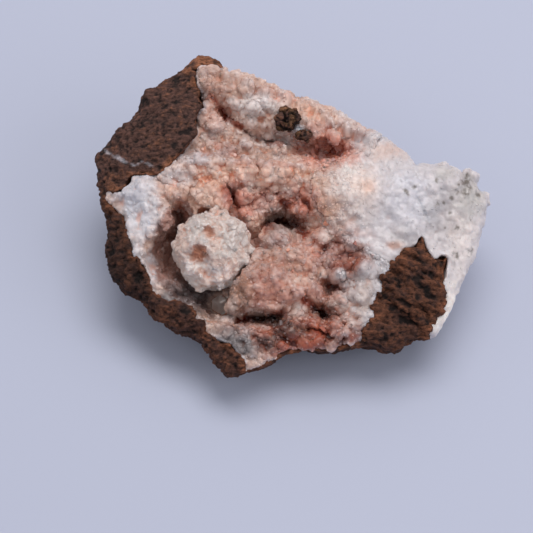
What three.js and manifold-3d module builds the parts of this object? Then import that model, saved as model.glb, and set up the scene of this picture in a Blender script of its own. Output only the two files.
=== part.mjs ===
// A hand specimen of aragonite: a broken piece of brown limonite whose open hollow is lined with
// pink crystals, with a vein of massive white aragonite across its right end. A cauliflower ball of
// crystals stands in the hollow, a few clear crystals grow beside it, and two crumbs of limonite
// sit on the upper slope.
//
// Units are millimetres. +X runs along the specimen, +Y to its back and +Z up; it stands on z = 0.
// Its open face leans back, so features on it are placed in the face's own frame: `across` runs
// along +X, `up` runs up the leaning face, and `out` is square to the face, away from the rock.
import * as THREE from "three";
import { mergeVertices } from "three/addons/utils/BufferGeometryUtils.js";
import { ImprovedNoise } from "three/addons/math/ImprovedNoise.js";
import Module from "manifold-3d";

const wasm = await Module();
wasm.setup();

// ---------------------------------------------------------------- driving dimensions

const FACE_LEAN = THREE.MathUtils.degToRad(30); // the face frame's tilt back from level
const FACE_ORIGIN = new THREE.Vector3(0.2, -1.7, 22); // where its zero point lies in the part's frame
const RIM_OUT = 2.3; // the rim's height out of the face frame, at up = 0
const RIM_SLOPE = 0.265; // how much lower that is for each millimetre up the face
const EDGE_DROP = 4; // how far the broken edge falls below the rim
const CLEARANCE = 0.3; // gap between pieces that touch
const LINING = 2.6; // least thickness of the crystal lining
const SPREAD = 3; // how far its floor spreads beyond the hollows over it
const CRYSTAL_LOBE = 3.5; // lobes with a smaller half size are single crystals
const FAR = 60; // longer than the specimen reaches from its middle
const BASE_SHARE = [0.62, 0.86]; // the underside's share of the outline, at the front and the back
const BASE_MIDDLE = -2; // where the walls draw in to, across the face
const ROUGH_ROCK = 1.1; // height of the limonite's unevenness
const ROUGH_VEIN = 0.35; // and of the white vein's

// How finely each rounded body is divided.
const DETAIL = { rock: 10, lining: 15, liningFloor: 6, ball: 5, ballRoom: 3 };

// The broken outline of the whole rock, [across, up], clockwise from the top.
const ROCK_OUTLINE = [
  [-22.9, 37.6], [-19.7, 38], [-16.7, 36.8], [-14.1, 34.3], [-11.1, 33.1], [-7.5, 31.8],
  [-1, 29.2], [4.6, 26.8], [10.7, 23.5], [16.8, 20.2], [22.3, 17.9], [25.8, 15.3], [28.8, 12.2],
  [31.8, 10.4], [34.8, 11], [37.3, 11.2], [40.3, 9.4], [42.8, 7.5], [44.8, 5.3], [45.2, 2.8],
  [43.9, -1], [42.3, -5.5], [41.4, -10], [39.8, -14], [38.2, -17.4], [36.5, -20.3],
  [35.1, -23.8], [33.1, -26.8], [29.8, -27.3], [27.6, -26.9], [25.8, -28.8], [23.8, -30.2],
  [20.8, -29.8], [18.6, -28.8], [13.4, -30.5], [7.4, -31.1], [1.5, -31.3], [-3.4, -32.9],
  [-8.4, -35], [-12.9, -36.6], [-15.3, -35.4], [-20, -29.8], [-26.7, -25], [-32.7, -21.8],
  [-34.5, -18.9], [-37.5, -17.3], [-41.1, -13.2], [-42.3, -10], [-42.4, -5.5], [-42, -0.8],
  [-43.1, 1.9], [-44.6, 5.4], [-45, 8.2], [-45.6, 13], [-44.9, 16.4], [-40.6, 19.8],
  [-36.6, 24.1], [-33.6, 29.5], [-28, 33.2], [-25.5, 34.9],
];

// Where the crystals cover the rock, [across, up]. It runs past the rock's edge at the back, at the
// right and at the front, where the crystals reach the broken edge.
const CRYSTAL_OUTLINE = [
  [-22.8, 34], [-21.2, 34.9], [-19, 34.2], [-16.6, 34], [-15, 32.2], [-12.4, 32.6], [-8, 36],
  [40, 36], [50, 0], [40, -40], [33, -40], [15, -29.2], [12.2, -30.2], [8, -34], [-2, -36],
  [-8, -36.4], [-11.2, -35.3], [-10.9, -32.9], [-13, -31.3], [-13.9, -29.7], [-16.8, -28.4],
  [-20, -26.8], [-20.3, -24.2], [-22.2, -23.4], [-24.2, -21], [-28.4, -19.7], [-32.6, -17.8],
  [-32.6, -15], [-33.9, -12.3], [-35.2, -10.4], [-36.2, -9.8], [-37.4, -5.9], [-38.4, -2],
  [-40.6, 1.2], [-46, 2], [-46, 5.6],
  [-39.3, 5.4], [-38, 6.7], [-37, 8.7], [-33, 8.6], [-29.3, 10], [-27, 12.9], [-25.1, 14.8],
  [-23.2, 17.7], [-22.3, 19.3], [-22.5, 21], [-22.2, 23.5], [-20.2, 25.3], [-21.7, 27.4],
  [-21.4, 29], [-22.5, 31],
];

// The limonite that breaks through the white vein at the lower right, [across, up].
const PATCH_OUTLINE = [
  [29.4, -5.2], [30.3, -8.1], [31.9, -10.3], [35.2, -9.9], [34.2, -12.9], [33.9, -15.8],
  [34.5, -20], [33.4, -22.3], [31.6, -24.2], [30.4, -27], [27.9, -40], [20, -40], [13, -40],
  [12.6, -30.2], [15.6, -28.8], [16.3, -25.8], [16.9, -24.2], [18.9, -23.7], [18.1, -21.2],
  [18.9, -18.4], [20.8, -16.8], [20.2, -14.4], [21.6, -12.6], [24.2, -10.4], [25.4, -8.3],
  [27.4, -7.8],
];

// The white vein seen on the face, [across, up]; its other sides run out of the rock.
const VEIN_OUTLINE = [
  [26, 40], [22.6, 18.8], [17.2, 14.8], [10.4, 11.8], [5.4, 9.4], [4.4, 6], [5.6, 1.5], [9.5, -2],
  [13, -5.5],
  [18, -8.6], [22, -11], [23, -40], [FAR, -40], [FAR, 40],
];
const VEIN_DEPTH = 9; // below the rim, at the vein's left side
const VEIN_DIP = THREE.MathUtils.degToRad(50); // how steeply its floor goes down to the right

// Swells of the rock's face: [across, up], [half width, half height], degrees turned, rise.
const SWELLS = [
  [[13.5, 5.5], [7, 5.5], -10, 4.2], // white boss beside the hollow
  [[7.5, 3], [4, 4.5], 0, 2],
  [[25, 2], [6, 8], 0, 1],
  [[36.5, 7.5], [4, 3.5], 0, 2.2], // knob at the right tip
  [[30, -14], [5, 7], 0, 1.5], // limonite at the lower right
  [[-30, 20], [9, 10], 35, 1.6], // limonite at the upper left
  [[-41, -6], [3, 9], 0, 1.2],
];

// Hollows of the crystal lining, measured below the rim, in the same way as the swells.
const HOLLOWS = [
  [[-6, 2], [20, 15], -25, 3], // the whole bowl
  [[-5, 17.6], [12, 2.6], -8, 6.5], // upper trough
  [[8, 15], [6, 3.4], -26, 6.6], // its stained right end
  [[-15, 23.6], [5, 1.4], -42, 6.5], // cleft in the upper slope
  [[-6, 2.5], [8, 3.4], -25, 6.5], // lower trough
  [[-2, -2], [4.5, 2], -10, 8], // dark cave below it
  [[-8.6, -5], [1.6, 6], -12, 6], // slot right of the ball
  [[-26.9, -2], [2.1, 4.6], -8, 9.5], // recess under the arch, left of the ball
  [[-28, -10.4], [4, 5.8], 12, 10.5], // deep pocket below it
  [[-18.4, -8], [9, 9], 0, 8.5], // seat of the ball
  [[-19, -20], [8.5, 3.8], -28, 6.4], // pocket in front of the ball
  [[8.4, -17], [2.8, 2.4], 0, 8],
  [[6.8, -22.6], [3.6, 2.4], 0, 8.5],
  [[-6.5, -24], [5.5, 1.6], 5, 8.5], // slit below the boulder
];

// Lobes of grown crystals: [across, up], depth of the middle below the rim, half sizes.
const LOBES = [
  // upper slope, below the limonite's lip
  [[-18.6, 30.2], 2.6, [4.6, 4.4, 3.4]], [[-13.6, 28.6], 3, [5, 4, 3.3]],
  [[-8, 26], 3.2, [6, 4.2, 3.6]], [[-1.5, 24.2], 3.4, [6, 4, 3.2]], [[5.5, 21.6], 3.4, [6, 3.8, 3]],
  [[-19.8, 24], 4, [3.1, 3.2, 3.2]], [[-19.4, 19.6], 4.6, [3.8, 3, 2.8]],
  [[-10.6, 23], 4.2, [4, 2.6, 2.8]], [[11, 19.6], 3.6, [4, 2.4, 2.6]],
  [[16.6, 17.6], 3.2, [4, 2.4, 2.6]],
  // shelf between the upper trough and the middle ridge
  [[-19, 15.8], 4.6, [4.6, 2.4, 2.4]], [[-12, 15.6], 4.8, [4.4, 2.2, 2.4]],
  [[-5, 14.4], 5, [4, 2, 2.4]],
  // middle ridge, from the left lobe to the white boss
  [[-26.4, 9.8], 2.6, [6, 4, 3.6]], [[-18.8, 10.6], 3, [5.6, 3.6, 3.8]],
  [[-11.4, 10.2], 3.2, [6, 3.8, 4]], [[-4, 9.4], 3.4, [6, 3.6, 4]], [[3, 9], 3.2, [5, 3.8, 3.8]],
  // left lobe and the arch to the knob behind the ball
  [[-34, 3.4], 2.6, [5.6, 5, 4]], [[-33, -2.4], 4, [4, 4.4, 4.2]],
  [[-30.8, -1.2], 3.8, [3.4, 4.2, 4.6]],
  [[-27, 5.2], 3.4, [4.2, 3.6, 3.6]],
  // clusters in the lower trough
  [[-10, 4.2], 6, [3, 2.6, 3]], [[-6, 2.2], 7.4, [3.4, 2.8, 3.2]], [[-0.8, 4.2], 5.6, [3.6, 2.2, 3]],
  [[3, 1.2], 5.6, [2.6, 2.8, 3]], [[-9.6, -0.6], 7, [2.8, 3, 3]],
  // around the boulder
  [[-11.8, -19], 5.2, [3.6, 3.8, 4]], [[0.6, -11.6], 3.8, [6.4, 4.6, 4.8]],
  [[-9, -12.6], 5, [3.8, 3.8, 4.2]], [[3.6, -17.2], 5, [3.6, 3.6, 3.6]],
  // right slope
  [[11, -3.6], 3, [3.4, 2.2, 2.6]], [[9.4, -9.8], 4.2, [3.4, 2.6, 3]],
  [[16, -12.6], 2, [3.2, 2.8, 2.8]], [[15.4, -18], 2.6, [2.8, 4, 3.2]],
  [[10.8, -20.8], 4.4, [3.6, 3, 3.4]], [[15.4, -23.6], 2.6, [2.4, 3.4, 2.8]],
  // front edge
  [[-16, -26.4], 5, [3, 2.2, 2.4]], [[-8.4, -28.6], 4.4, [4.2, 3.4, 3]],
  [[-2, -27.6], 4.6, [4, 3, 3]], [[3.8, -27.6], 4.6, [4.4, 3, 3]], [[9.8, -26.6], 4, [4.2, 3, 3]],
  // thin lining along the left wall
  [[-29.6, -16.4], 4.2, [3.6, 2.2, 2.6]], [[-35, -8], 3, [2, 3.4, 2.6]],
];

// Lobes that stand free and overhang what is below them, in the same way.
const BOULDERS = [
  [[-19.8, 3.4], 3.6, [5, 5, 5]], // knob behind the ball
  [[-4, -5.8], 5.2, [3.8, 3.4, 3.8]],
  [[-4.6, -16.6], 3.8, [8.8, 6.6, 6]], // boulder below the middle
  [[6.4, -5.4], 3.4, [2.8, 2.5, 2.8]],
  [[13.6, -7.2], 3.2, [2.8, 2.6, 2.8]],
  [[9.8, -13.6], 3.4, [2.2, 2.2, 2.6]],
];

// Larger crystals of the lining, scattered over its lobes.
const CRYSTALS = { count: 34, smallest: 2, largest: 3.6 };

const BALL = { at: [-18.4, -8.2], depth: 3.4, size: [8.7, 9.3, 8] };
const BALL_PITS = [
  // direction on the ball (across, up, out), width as a cosine, depth as a share of the radius
  [[-3.2, -1, 7.6], 0.965, 0.2],
  [[-0.8, 4.6, 7], 0.985, 0.14],
  [[-1.8, -4.8, 6.6], 0.988, 0.08],
];

// The clear crystal in front of the ball; its depth is that of its tip.
const CLEAR_CRYSTAL = { at: [-16.9, -20.4], depth: 3.5, width: 4.4, length: 5.4, lean: [-7, 5] };

// Crumbs of limonite on the upper slope: name, [across, up], depth of the middle, half sizes.
const CRUMBS = [
  ["limonite_crumb_large", [-1.2, 22.2], 0.2, [3, 2.7, 2.6]],
  ["limonite_crumb_small", [2.6, 18.6], 1, [2, 1.8, 1.8]],
];

// ---------------------------------------------------------------- the face frame

const faceFrame = new THREE.Matrix4().makeRotationX(FACE_LEAN).setPosition(FACE_ORIGIN);

const onFace = (across, up, out) => new THREE.Vector3(across, up, out).applyMatrix4(faceFrame);

const rim = (up) => RIM_OUT - RIM_SLOPE * up;

// The sum of turned bell shapes at a point of the face.
function bells(list, across, up) {
  let sum = 0;
  for (const [[x, y], [width, height], turned, rise] of list) {
    const turn = THREE.MathUtils.degToRad(turned);
    const [dx, dy] = [across - x, up - y];
    const along = (dx * Math.cos(turn) + dy * Math.sin(turn)) / width;
    const beside = (dy * Math.cos(turn) - dx * Math.sin(turn)) / height;
    sum += rise * Math.exp(-(along ** 2 + beside ** 2));
  }
  return sum;
}

// ---------------------------------------------------------------- noise

const perlin = new ImprovedNoise();

// Rolling unevenness from about -1 to 1, at a scale in millimetres.
function uneven(point, scale, octaves = 3) {
  let [sum, share] = [0, 1];
  for (let k = 0, s = scale; k < octaves; k++, s /= 2, share /= 2)
    sum += share * perlin.noise(point.x / s + 7.3, point.y / s - 2.1, point.z / s + 4.7);
  return sum;
}

// Sharp broken ridges from 0 to about 1.
const ridged = (point, scale) => 1 - Math.abs(uneven(point, scale));

// The same series of numbers from 0 to 1 on every run.
function series(seed) {
  let state = seed;
  return () => {
    state = (state * 1664525 + 1013904223) % 4294967296;
    return state / 4294967296;
  };
}

// ---------------------------------------------------------------- solids

function solidOf(geometry) {
  geometry.deleteAttribute("normal");
  geometry.deleteAttribute("uv");
  const merged = mergeVertices(geometry, 1e-4);
  return new wasm.Manifold(
    new wasm.Mesh({
      numProp: 3,
      vertProperties: merged.attributes.position.array,
      triVerts: new Uint32Array(merged.index.array),
    }),
  );
}

function meshOf(name, solid, material) {
  const made = solid.getMesh();
  const geometry = new THREE.BufferGeometry();
  geometry.setAttribute("position", new THREE.BufferAttribute(made.vertProperties, 3));
  geometry.setIndex(new THREE.BufferAttribute(made.triVerts, 1));
  const flat = geometry.toNonIndexed();
  flat.computeVertexNormals();
  const mesh = new THREE.Mesh(flat, material);
  mesh.name = name;
  return mesh;
}

const joined = (solids) => solids.reduce((whole, solid) => whole.add(solid));

// How far a closed outline reaches from the face's zero point, in each direction.
function reachOf(outline) {
  const points = outline.map(([x, y]) => new THREE.Vector3(x, y, 0));
  const curve = new THREE.CatmullRomCurve3(points, true, "centripetal");
  const polar = curve
    .getPoints(outline.length * 8)
    .map((p) => [Math.atan2(p.y, p.x), Math.hypot(p.x, p.y)])
    .sort((a, b) => a[0] - b[0]);
  return (angle) => {
    const after = polar.findIndex(([a]) => a >= angle);
    const [a1, r1] = after > 0 ? polar[after - 1] : polar.at(-1);
    const [a2, r2] = after >= 0 ? polar[after] : polar[0];
    const span = (a2 - a1 + 2 * Math.PI) % (2 * Math.PI);
    const part = (angle - a1 + 2 * Math.PI) % (2 * Math.PI);
    return span > 0 ? THREE.MathUtils.lerp(r1, r2, part / span) : r1;
  };
}

// A closed body like a pebble. `shape` turns a place on it into a point: `ring` goes from 0 at the
// middle of the front or back to 1 at the edge, and `angle` goes round. `frontShare` of its
// triangles lie on the front.
function pebble(detail, frontShare, shape) {
  const geometry = new THREE.IcosahedronGeometry(1, detail);
  const position = geometry.attributes.position;
  const edge = 1 - 2 * frontShare;
  const point = new THREE.Vector3();
  for (let k = 0; k < position.count; k++) {
    point.fromBufferAttribute(position, k);
    const front = point.z >= edge;
    const ring = Math.sqrt(front ? (1 - point.z) / (1 - edge) : (1 + point.z) / (1 + edge));
    const placed = shape(Math.min(1, ring), Math.atan2(point.y, point.x), front);
    position.setXYZ(k, placed.x, placed.y, placed.z);
  }
  return solidOf(geometry);
}

// A wall that follows an outline of the face, straight through the rock, moved out by `grown`.
function prism(outline, grown = 0) {
  const points = outline.map(([x, y]) => new THREE.Vector2(x, y));
  const clockwise = THREE.ShapeUtils.area(points) < 0;
  const moved = points.map((p, k) => {
    const before = points.at(k - 1);
    const after = points[(k + 1) % points.length];
    const sides = [p.clone().sub(before), after.clone().sub(p)].map((side) => side.normalize());
    const out = sides.map((side) => new THREE.Vector2(-side.y, side.x));
    const corner = out[0].clone().add(out[1]);
    return p.clone().addScaledVector(corner, (clockwise ? grown : -grown) / (1 + out[0].dot(out[1])));
  });
  const geometry = new THREE.ExtrudeGeometry(new THREE.Shape(moved), {
    depth: 2 * FAR,
    bevelEnabled: false,
  });
  geometry.translate(0, 0, -FAR).applyMatrix4(faceFrame);
  return solidOf(geometry);
}

// A knobbly ellipsoid on the face. The smallest are coarse enough to read as single crystals.
function lobe([across, up], depth, size, roughness = 0.2, grown = 0) {
  const geometry = new THREE.IcosahedronGeometry(1, Math.floor(Math.max(...size) / CRYSTAL_LOBE));
  geometry.rotateX(across).rotateZ(up);
  const position = geometry.attributes.position;
  const centre = new THREE.Vector3(across, up, rim(up) - depth);
  const half = new THREE.Vector3(...size);
  const point = new THREE.Vector3();
  for (let k = 0; k < position.count; k++) {
    point.fromBufferAttribute(position, k).multiply(half);
    const knob = 1 + roughness * uneven(point.clone().add(centre), 3.5, 2);
    point.multiplyScalar(knob * (1 + (1.3 * grown) / Math.min(...size))).add(centre);
    position.setXYZ(k, point.x, point.y, point.z);
  }
  return solidOf(geometry.applyMatrix4(faceFrame));
}

// ---------------------------------------------------------------- the rock

const rockReach = reachOf(ROCK_OUTLINE);

const rockFace = (across, up, ring) =>
  rim(up) + bells(SWELLS, across, up) - EDGE_DROP * ring ** 8;

// Limonite is rough, and the rock gets smoother towards the white vein on its right.
const roughness = (across) =>
  THREE.MathUtils.lerp(ROUGH_ROCK, ROUGH_VEIN, THREE.MathUtils.clamp((across - 10) / 20, 0, 1));

// The whole rock: a leaning face, walls that draw in under it, and a flat underside.
function wholeRock() {
  const BASE_RING = 0.42; // the underside's share of the back's rings
  const BURIED = 2; // how far it is drawn below the ground before it is cut flat
  const FACE_SHARE = 0.56; // share of the triangles on the face
  const middle = onFace(BASE_MIDDLE, 0, 0);
  const drawIn = (angle) => THREE.MathUtils.mapLinear(Math.sin(angle), -1, 1, ...BASE_SHARE);
  return pebble(DETAIL.rock, FACE_SHARE, (ring, angle, front) => {
    const reach = rockReach(angle);
    const [across, up] = [reach * Math.cos(angle), reach * Math.sin(angle)];
    if (front) {
      const point = onFace(across * ring, up * ring, rockFace(across * ring, up * ring, ring));
      const lift = roughness(across * ring) * (1.2 * uneven(point, 9) + 0.9 * ridged(point, 4) - 0.6);
      return point.addScaledVector(onFace(0, 0, 1).sub(onFace(0, 0, 0)), lift * (1 - ring ** 6));
    }
    const edge = onFace(across, up, rockFace(across, up, 1));
    const down = THREE.MathUtils.clamp((1 - ring) / (1 - BASE_RING), 0, 1);
    const inward = (1 - (1 - drawIn(angle)) * down ** 1.5) * Math.min(1, ring / BASE_RING);
    const point = new THREE.Vector3(
      middle.x + (edge.x - middle.x) * inward,
      middle.y + (edge.y - middle.y) * inward,
      THREE.MathUtils.lerp(edge.z, -BURIED, down),
    );
    const push = (3 * uneven(point, 14) + 2 * ridged(point, 7) - 1.5) * Math.sin(Math.PI * down);
    const away = new THREE.Vector3(point.x - middle.x, point.y - middle.y, 0).normalize();
    return point.addScaledVector(away, push);
  });
}

const groundCut = () => solidOf(new THREE.BoxGeometry(3 * FAR, 3 * FAR, FAR).translate(0, 0, -FAR / 2));

// The space that the white vein fills.
function veinSpace(grown = 0) {
  const slab = new THREE.BoxGeometry(4 * FAR, 4 * FAR, 2 * FAR);
  slab.translate(0, 0, FAR - grown).rotateY(VEIN_DIP);
  slab.translate(4, 0, rim(0) - VEIN_DEPTH).applyMatrix4(faceFrame);
  return prism(VEIN_OUTLINE, grown).intersect(solidOf(slab));
}

// ---------------------------------------------------------------- the lining

const liningDepth = (across, up) => 1 + bells(HOLLOWS, across, up);

// The lining's floor on the rock follows the deepest of its surface near by.
function floorDepth(across, up) {
  const near = [[0, 0], [SPREAD, 0], [-SPREAD, 0], [0, SPREAD], [0, -SPREAD]];
  return LINING + Math.max(...near.map(([x, y]) => liningDepth(across + x, up + y)));
}

// The space that the crystal lining fills, from its floor on the rock outwards.
function liningSpace(grown = 0) {
  const above = pebble(DETAIL.liningFloor, 0.5, (ring, angle, front) => {
    const reach = 1.15 * rockReach(angle) * ring;
    const [across, up] = [reach * Math.cos(angle), reach * Math.sin(angle)];
    return onFace(across, up, front ? FAR / 2 : rim(up) - floorDepth(across, up) - 1.5 * grown);
  });
  return above.intersect(prism(CRYSTAL_OUTLINE, grown));
}

// How far out the lining's surface is: the floor of its hollows, or the highest lobe there.
function liningOut(across, up) {
  let out = rim(up) - liningDepth(across, up);
  for (const [[x, y], depth, [width, height, rise]] of LOBES) {
    const inside = 1 - ((across - x) / width) ** 2 - ((up - y) / height) ** 2;
    if (inside > 0) out = Math.max(out, rim(y) - depth + rise * Math.sqrt(inside));
  }
  return out;
}

function liningFace() {
  return pebble(DETAIL.lining, 0.5, (ring, angle, front) => {
    const reach = rockReach(angle) * ring;
    const [across, up] = [reach * Math.cos(angle), reach * Math.sin(angle)];
    if (!front) return onFace(across, up, -FAR / 3);
    const point = onFace(across, up, 0);
    const [aside, along] = [1.2 * uneven(point, 5, 2), 1.2 * uneven(point.addScalar(20), 5, 2)];
    const grain = 0.9 * uneven(point, 4);
    return onFace(across, up, liningOut(across + aside, up + along) - EDGE_DROP * ring ** 12 + grain);
  });
}

// One six-sided crystal that stands on z = 0 and ends in a blunt point.
function crystalGeometry(width, length) {
  const profile = [[0, 0], [0.5, 0], [0.5, 0.8], [0, 1]];
  const points = profile.map(([x, y]) => new THREE.Vector2(x * width, y * length));
  return new THREE.LatheGeometry(points, 6).rotateX(Math.PI / 2);
}

// The larger crystals, each square to the lining where it stands and sunk into it.
function liningCrystals() {
  const next = series(13);
  const outward = new THREE.Vector3(0, 0, 1);
  return Array.from({ length: CRYSTALS.count }, (_, k) => {
    const [[x, y], , size] = LOBES[k % LOBES.length];
    const across = x + (next() - 0.5) * size[0];
    const up = y + (next() - 0.5) * size[1];
    const out = liningOut(across, up);
    const lean = new THREE.Vector3(next() - 0.5, next() - 0.5, 0);
    const way = new THREE.Vector3(out - liningOut(across + 1, up), out - liningOut(across, up + 1), 1);
    way.clampLength(0, 2).add(lean).normalize();
    const width = THREE.MathUtils.lerp(CRYSTALS.smallest, CRYSTALS.largest, next());
    const geometry = crystalGeometry(width, 1.5 * width).rotateZ(6 * next());
    geometry.translate(0, 0, -0.95 * width);
    geometry.applyQuaternion(new THREE.Quaternion().setFromUnitVectors(outward, way));
    geometry.translate(across, up, out);
    return solidOf(geometry.applyMatrix4(faceFrame));
  });
}

// ---------------------------------------------------------------- what stands on the lining

// Knobs spread evenly over a sphere, by the golden angle.
function knobDirections(count) {
  const golden = Math.PI * (3 - Math.sqrt(5));
  return Array.from({ length: count }, (_, k) => {
    const z = 1 - (2 * (k + 0.5)) / count;
    const r = Math.sqrt(1 - z * z);
    return new THREE.Vector3(r * Math.cos(k * golden), r * Math.sin(k * golden), z);
  });
}

// The cauliflower ball, with its knobs and the pits in its front.
function crystalBall(grown = 0) {
  const knobs = knobDirections(70);
  const pits = BALL_PITS.map(([way, width, depth]) => [
    new THREE.Vector3(...way).normalize(), width, depth,
  ]);
  const geometry = new THREE.IcosahedronGeometry(1, grown ? DETAIL.ballRoom : DETAIL.ball);
  const position = geometry.attributes.position;
  const half = new THREE.Vector3(...BALL.size).addScalar(2 * grown);
  const point = new THREE.Vector3();
  for (let k = 0; k < position.count; k++) {
    point.fromBufferAttribute(position, k).normalize();
    const nearest = Math.max(...knobs.map((knob) => knob.dot(point)));
    let size = 0.9 + 3 * (nearest - 0.955) + 0.05 * uneven(point, 0.5, 2);
    for (const [way, width, depth] of pits)
      size -= depth * THREE.MathUtils.smoothstep(way.dot(point), 2 * width - 1, 1);
    point.multiply(half).multiplyScalar(grown ? 1.03 : size);
    position.setXYZ(k, point.x, point.y, point.z);
  }
  const [across, up] = BALL.at;
  geometry.translate(across, up, rim(up) - BALL.depth);
  return solidOf(geometry.applyMatrix4(faceFrame));
}

// The clear crystal, rooted in the lining.
function clearCrystal(grown = 0) {
  const { at, depth, width, length, lean } = CLEAR_CRYSTAL;
  const [right, up] = lean.map(THREE.MathUtils.degToRad);
  const geometry = crystalGeometry(width + 3 * grown, length + 3 * grown);
  geometry.translate(0, 0, -length - grown).rotateX(-up).rotateY(right);
  geometry.translate(at[0], at[1], rim(at[1]) - depth);
  return solidOf(geometry.applyMatrix4(faceFrame));
}

// ---------------------------------------------------------------- materials

const stone = (color, roughnessOf) =>
  new THREE.MeshStandardMaterial({ color, roughness: roughnessOf, metalness: 0, flatShading: true });
const LIMONITE = stone(0x4d342b, 0.9);
const WHITE_ARAGONITE = stone(0xd8d0cf, 0.5);
const PINK_ARAGONITE = stone(0xcf9f90, 0.5);
const BALL_ARAGONITE = stone(0xdcc3b4, 0.5);
const CLEAR_ARAGONITE = new THREE.MeshStandardMaterial({
  color: 0xb3a5a0, roughness: 0.15, metalness: 0, transparent: true, opacity: 0.6,
});

// ---------------------------------------------------------------- assembly

const specimen = new THREE.Group();
specimen.name = "aragonite_specimen";

const rock = wholeRock().subtract(groundCut());
const room = liningSpace(CLEARANCE).add(veinSpace(CLEARANCE)).subtract(prism(PATCH_OUTLINE));
const matrix = rock.subtract(room);
specimen.add(meshOf("limonite_matrix", matrix, LIMONITE));

const besidePatch = prism(PATCH_OUTLINE, CLEARANCE);
const vein = rock.intersect(veinSpace()).subtract(besidePatch);
specimen.add(meshOf("white_aragonite_vein", vein, WHITE_ARAGONITE));

const crumbs = CRUMBS.map(([name, at, depth, size]) => [name, lobe(at, depth, size, 0.5)]);
const rooms = [
  besidePatch,
  veinSpace(CLEARANCE),
  crystalBall(CLEARANCE),
  clearCrystal(CLEARANCE),
  ...CRUMBS.map(([, at, depth, size]) => lobe(at, depth, size, 0.5, CLEARANCE)),
];
const boulders = BOULDERS.map(([at, depth, size]) => lobe(at, depth, size));
const lining = joined([liningFace(), ...boulders, ...liningCrystals()])
  .intersect(liningSpace())
  .subtract(joined(rooms));
specimen.add(meshOf("pink_crystal_lining", lining, PINK_ARAGONITE));

specimen.add(meshOf("crystal_ball", crystalBall(), BALL_ARAGONITE));
specimen.add(meshOf("clear_crystal", clearCrystal(), CLEAR_ARAGONITE));
for (const [name, solid] of crumbs) specimen.add(meshOf(name, solid, LIMONITE));

export default specimen;
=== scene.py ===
"""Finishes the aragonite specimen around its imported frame, and sets the stage that it is shown on.

The frame's solids carry the form. Here each one gets its fine surface: the limonite is cut finer
and roughened, thousands of small crystals are grown into the aragonite and strewn over it, and every
surface is coloured by where it lies on the specimen's open face.
"""

from math import cos, radians, sin, tau

import bmesh
import bpy
import numpy as np
from bpy.props import FloatProperty, FloatVectorProperty, IntProperty, PointerProperty
from mathutils import Matrix, Vector, noise
from mathutils.bvhtree import BVHTree


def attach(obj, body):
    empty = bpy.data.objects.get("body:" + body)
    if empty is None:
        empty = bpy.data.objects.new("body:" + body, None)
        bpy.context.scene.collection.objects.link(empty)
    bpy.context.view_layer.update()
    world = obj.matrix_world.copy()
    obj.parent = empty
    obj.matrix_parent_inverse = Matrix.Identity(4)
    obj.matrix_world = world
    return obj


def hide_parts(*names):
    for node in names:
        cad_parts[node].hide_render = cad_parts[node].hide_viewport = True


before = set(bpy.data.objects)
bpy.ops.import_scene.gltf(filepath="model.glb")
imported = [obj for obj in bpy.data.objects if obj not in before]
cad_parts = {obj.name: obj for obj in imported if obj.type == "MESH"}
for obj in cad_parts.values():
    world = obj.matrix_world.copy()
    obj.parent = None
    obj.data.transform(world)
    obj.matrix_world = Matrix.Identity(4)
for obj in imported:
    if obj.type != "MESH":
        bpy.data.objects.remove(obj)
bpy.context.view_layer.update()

bl_info = {
    "name": "Aragonite specimen",
    "version": (1, 0, 0),
    "blender": (4, 5, 0),
    "location": "3D View > Sidebar > Specimen",
    "description": "Makes the fine surface of an aragonite specimen and its stage",
    "category": "Object",
}

MM = 0.001

# Blender's noise vectors start from the clock unless they are given a seed.
NOISE_SEED = 1795482834
noise.seed_set(NOISE_SEED)

# The open face leans back. Places on it are given in millimetres: across, up the face, and out.
FACE_LEAN = radians(30)
FACE_ORIGIN = Vector((0.2, -1.7, 22)) * MM
FROM_FACE = Matrix.Translation(FACE_ORIGIN) @ Matrix.Rotation(FACE_LEAN, 4, "X")
OUT = np.array(FROM_FACE)[:3, 2]
# The rim of the hollow is this far out at the middle of the face, and less further up it.
RIM_OUT = 2.3
RIM_SLOPE = 0.265

# The frame's nodes that are finished one by one.
ROCK = "limonite_matrix"
LINING = "pink_crystal_lining"
VEIN = "white_aragonite_vein"
BALL = "crystal_ball"
CLEAR = "clear_crystal"

# ---------------------------------------------------------------- colours by place

WHITE = (0.585, 0.535, 0.55)
MILKY = (0.70, 0.585, 0.55)
COOL_WHITE = (0.55, 0.545, 0.61)
GREY = (0.17, 0.14, 0.14)
OLIVE = (0.085, 0.062, 0.042)
SLATE = (0.20, 0.22, 0.27)
BRICK = (0.62, 0.235, 0.16)
AMBER = (0.60, 0.25, 0.13)
BEIGE = (0.48, 0.445, 0.435)
CREAM = (0.61, 0.42, 0.35)
# A white made lighter as painted light, for the low end of the vein, which faces away from the lamps.
LIT_SNOW = (0.86, 0.78, 0.74)
PALE = (0.70, 0.62, 0.60)
# A peach made lighter as painted light, on a ridge and in a narrow channel that lie in shade.
LIT_APRICOT = (0.84, 0.54, 0.42)
PEACH = (0.60, 0.31, 0.20)
PINK = (0.46, 0.185, 0.13)
TAN = (0.43, 0.245, 0.185)
PALE_PINK = (0.52, 0.42, 0.39)
DUSKY = (0.34, 0.19, 0.165)
ROSE = (0.36, 0.11, 0.07)
RUST = (0.31, 0.075, 0.042)
# A near-black brown: dark brown stain, and painted shade in the caves, slits and gaps of the lower
# lining.
UMBER_AND_SHADE = (0.05, 0.025, 0.02)
GOLDEN_BROWN = (0.2, 0.1, 0.045)
LILAC = (0.66, 0.635, 0.675)
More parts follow.
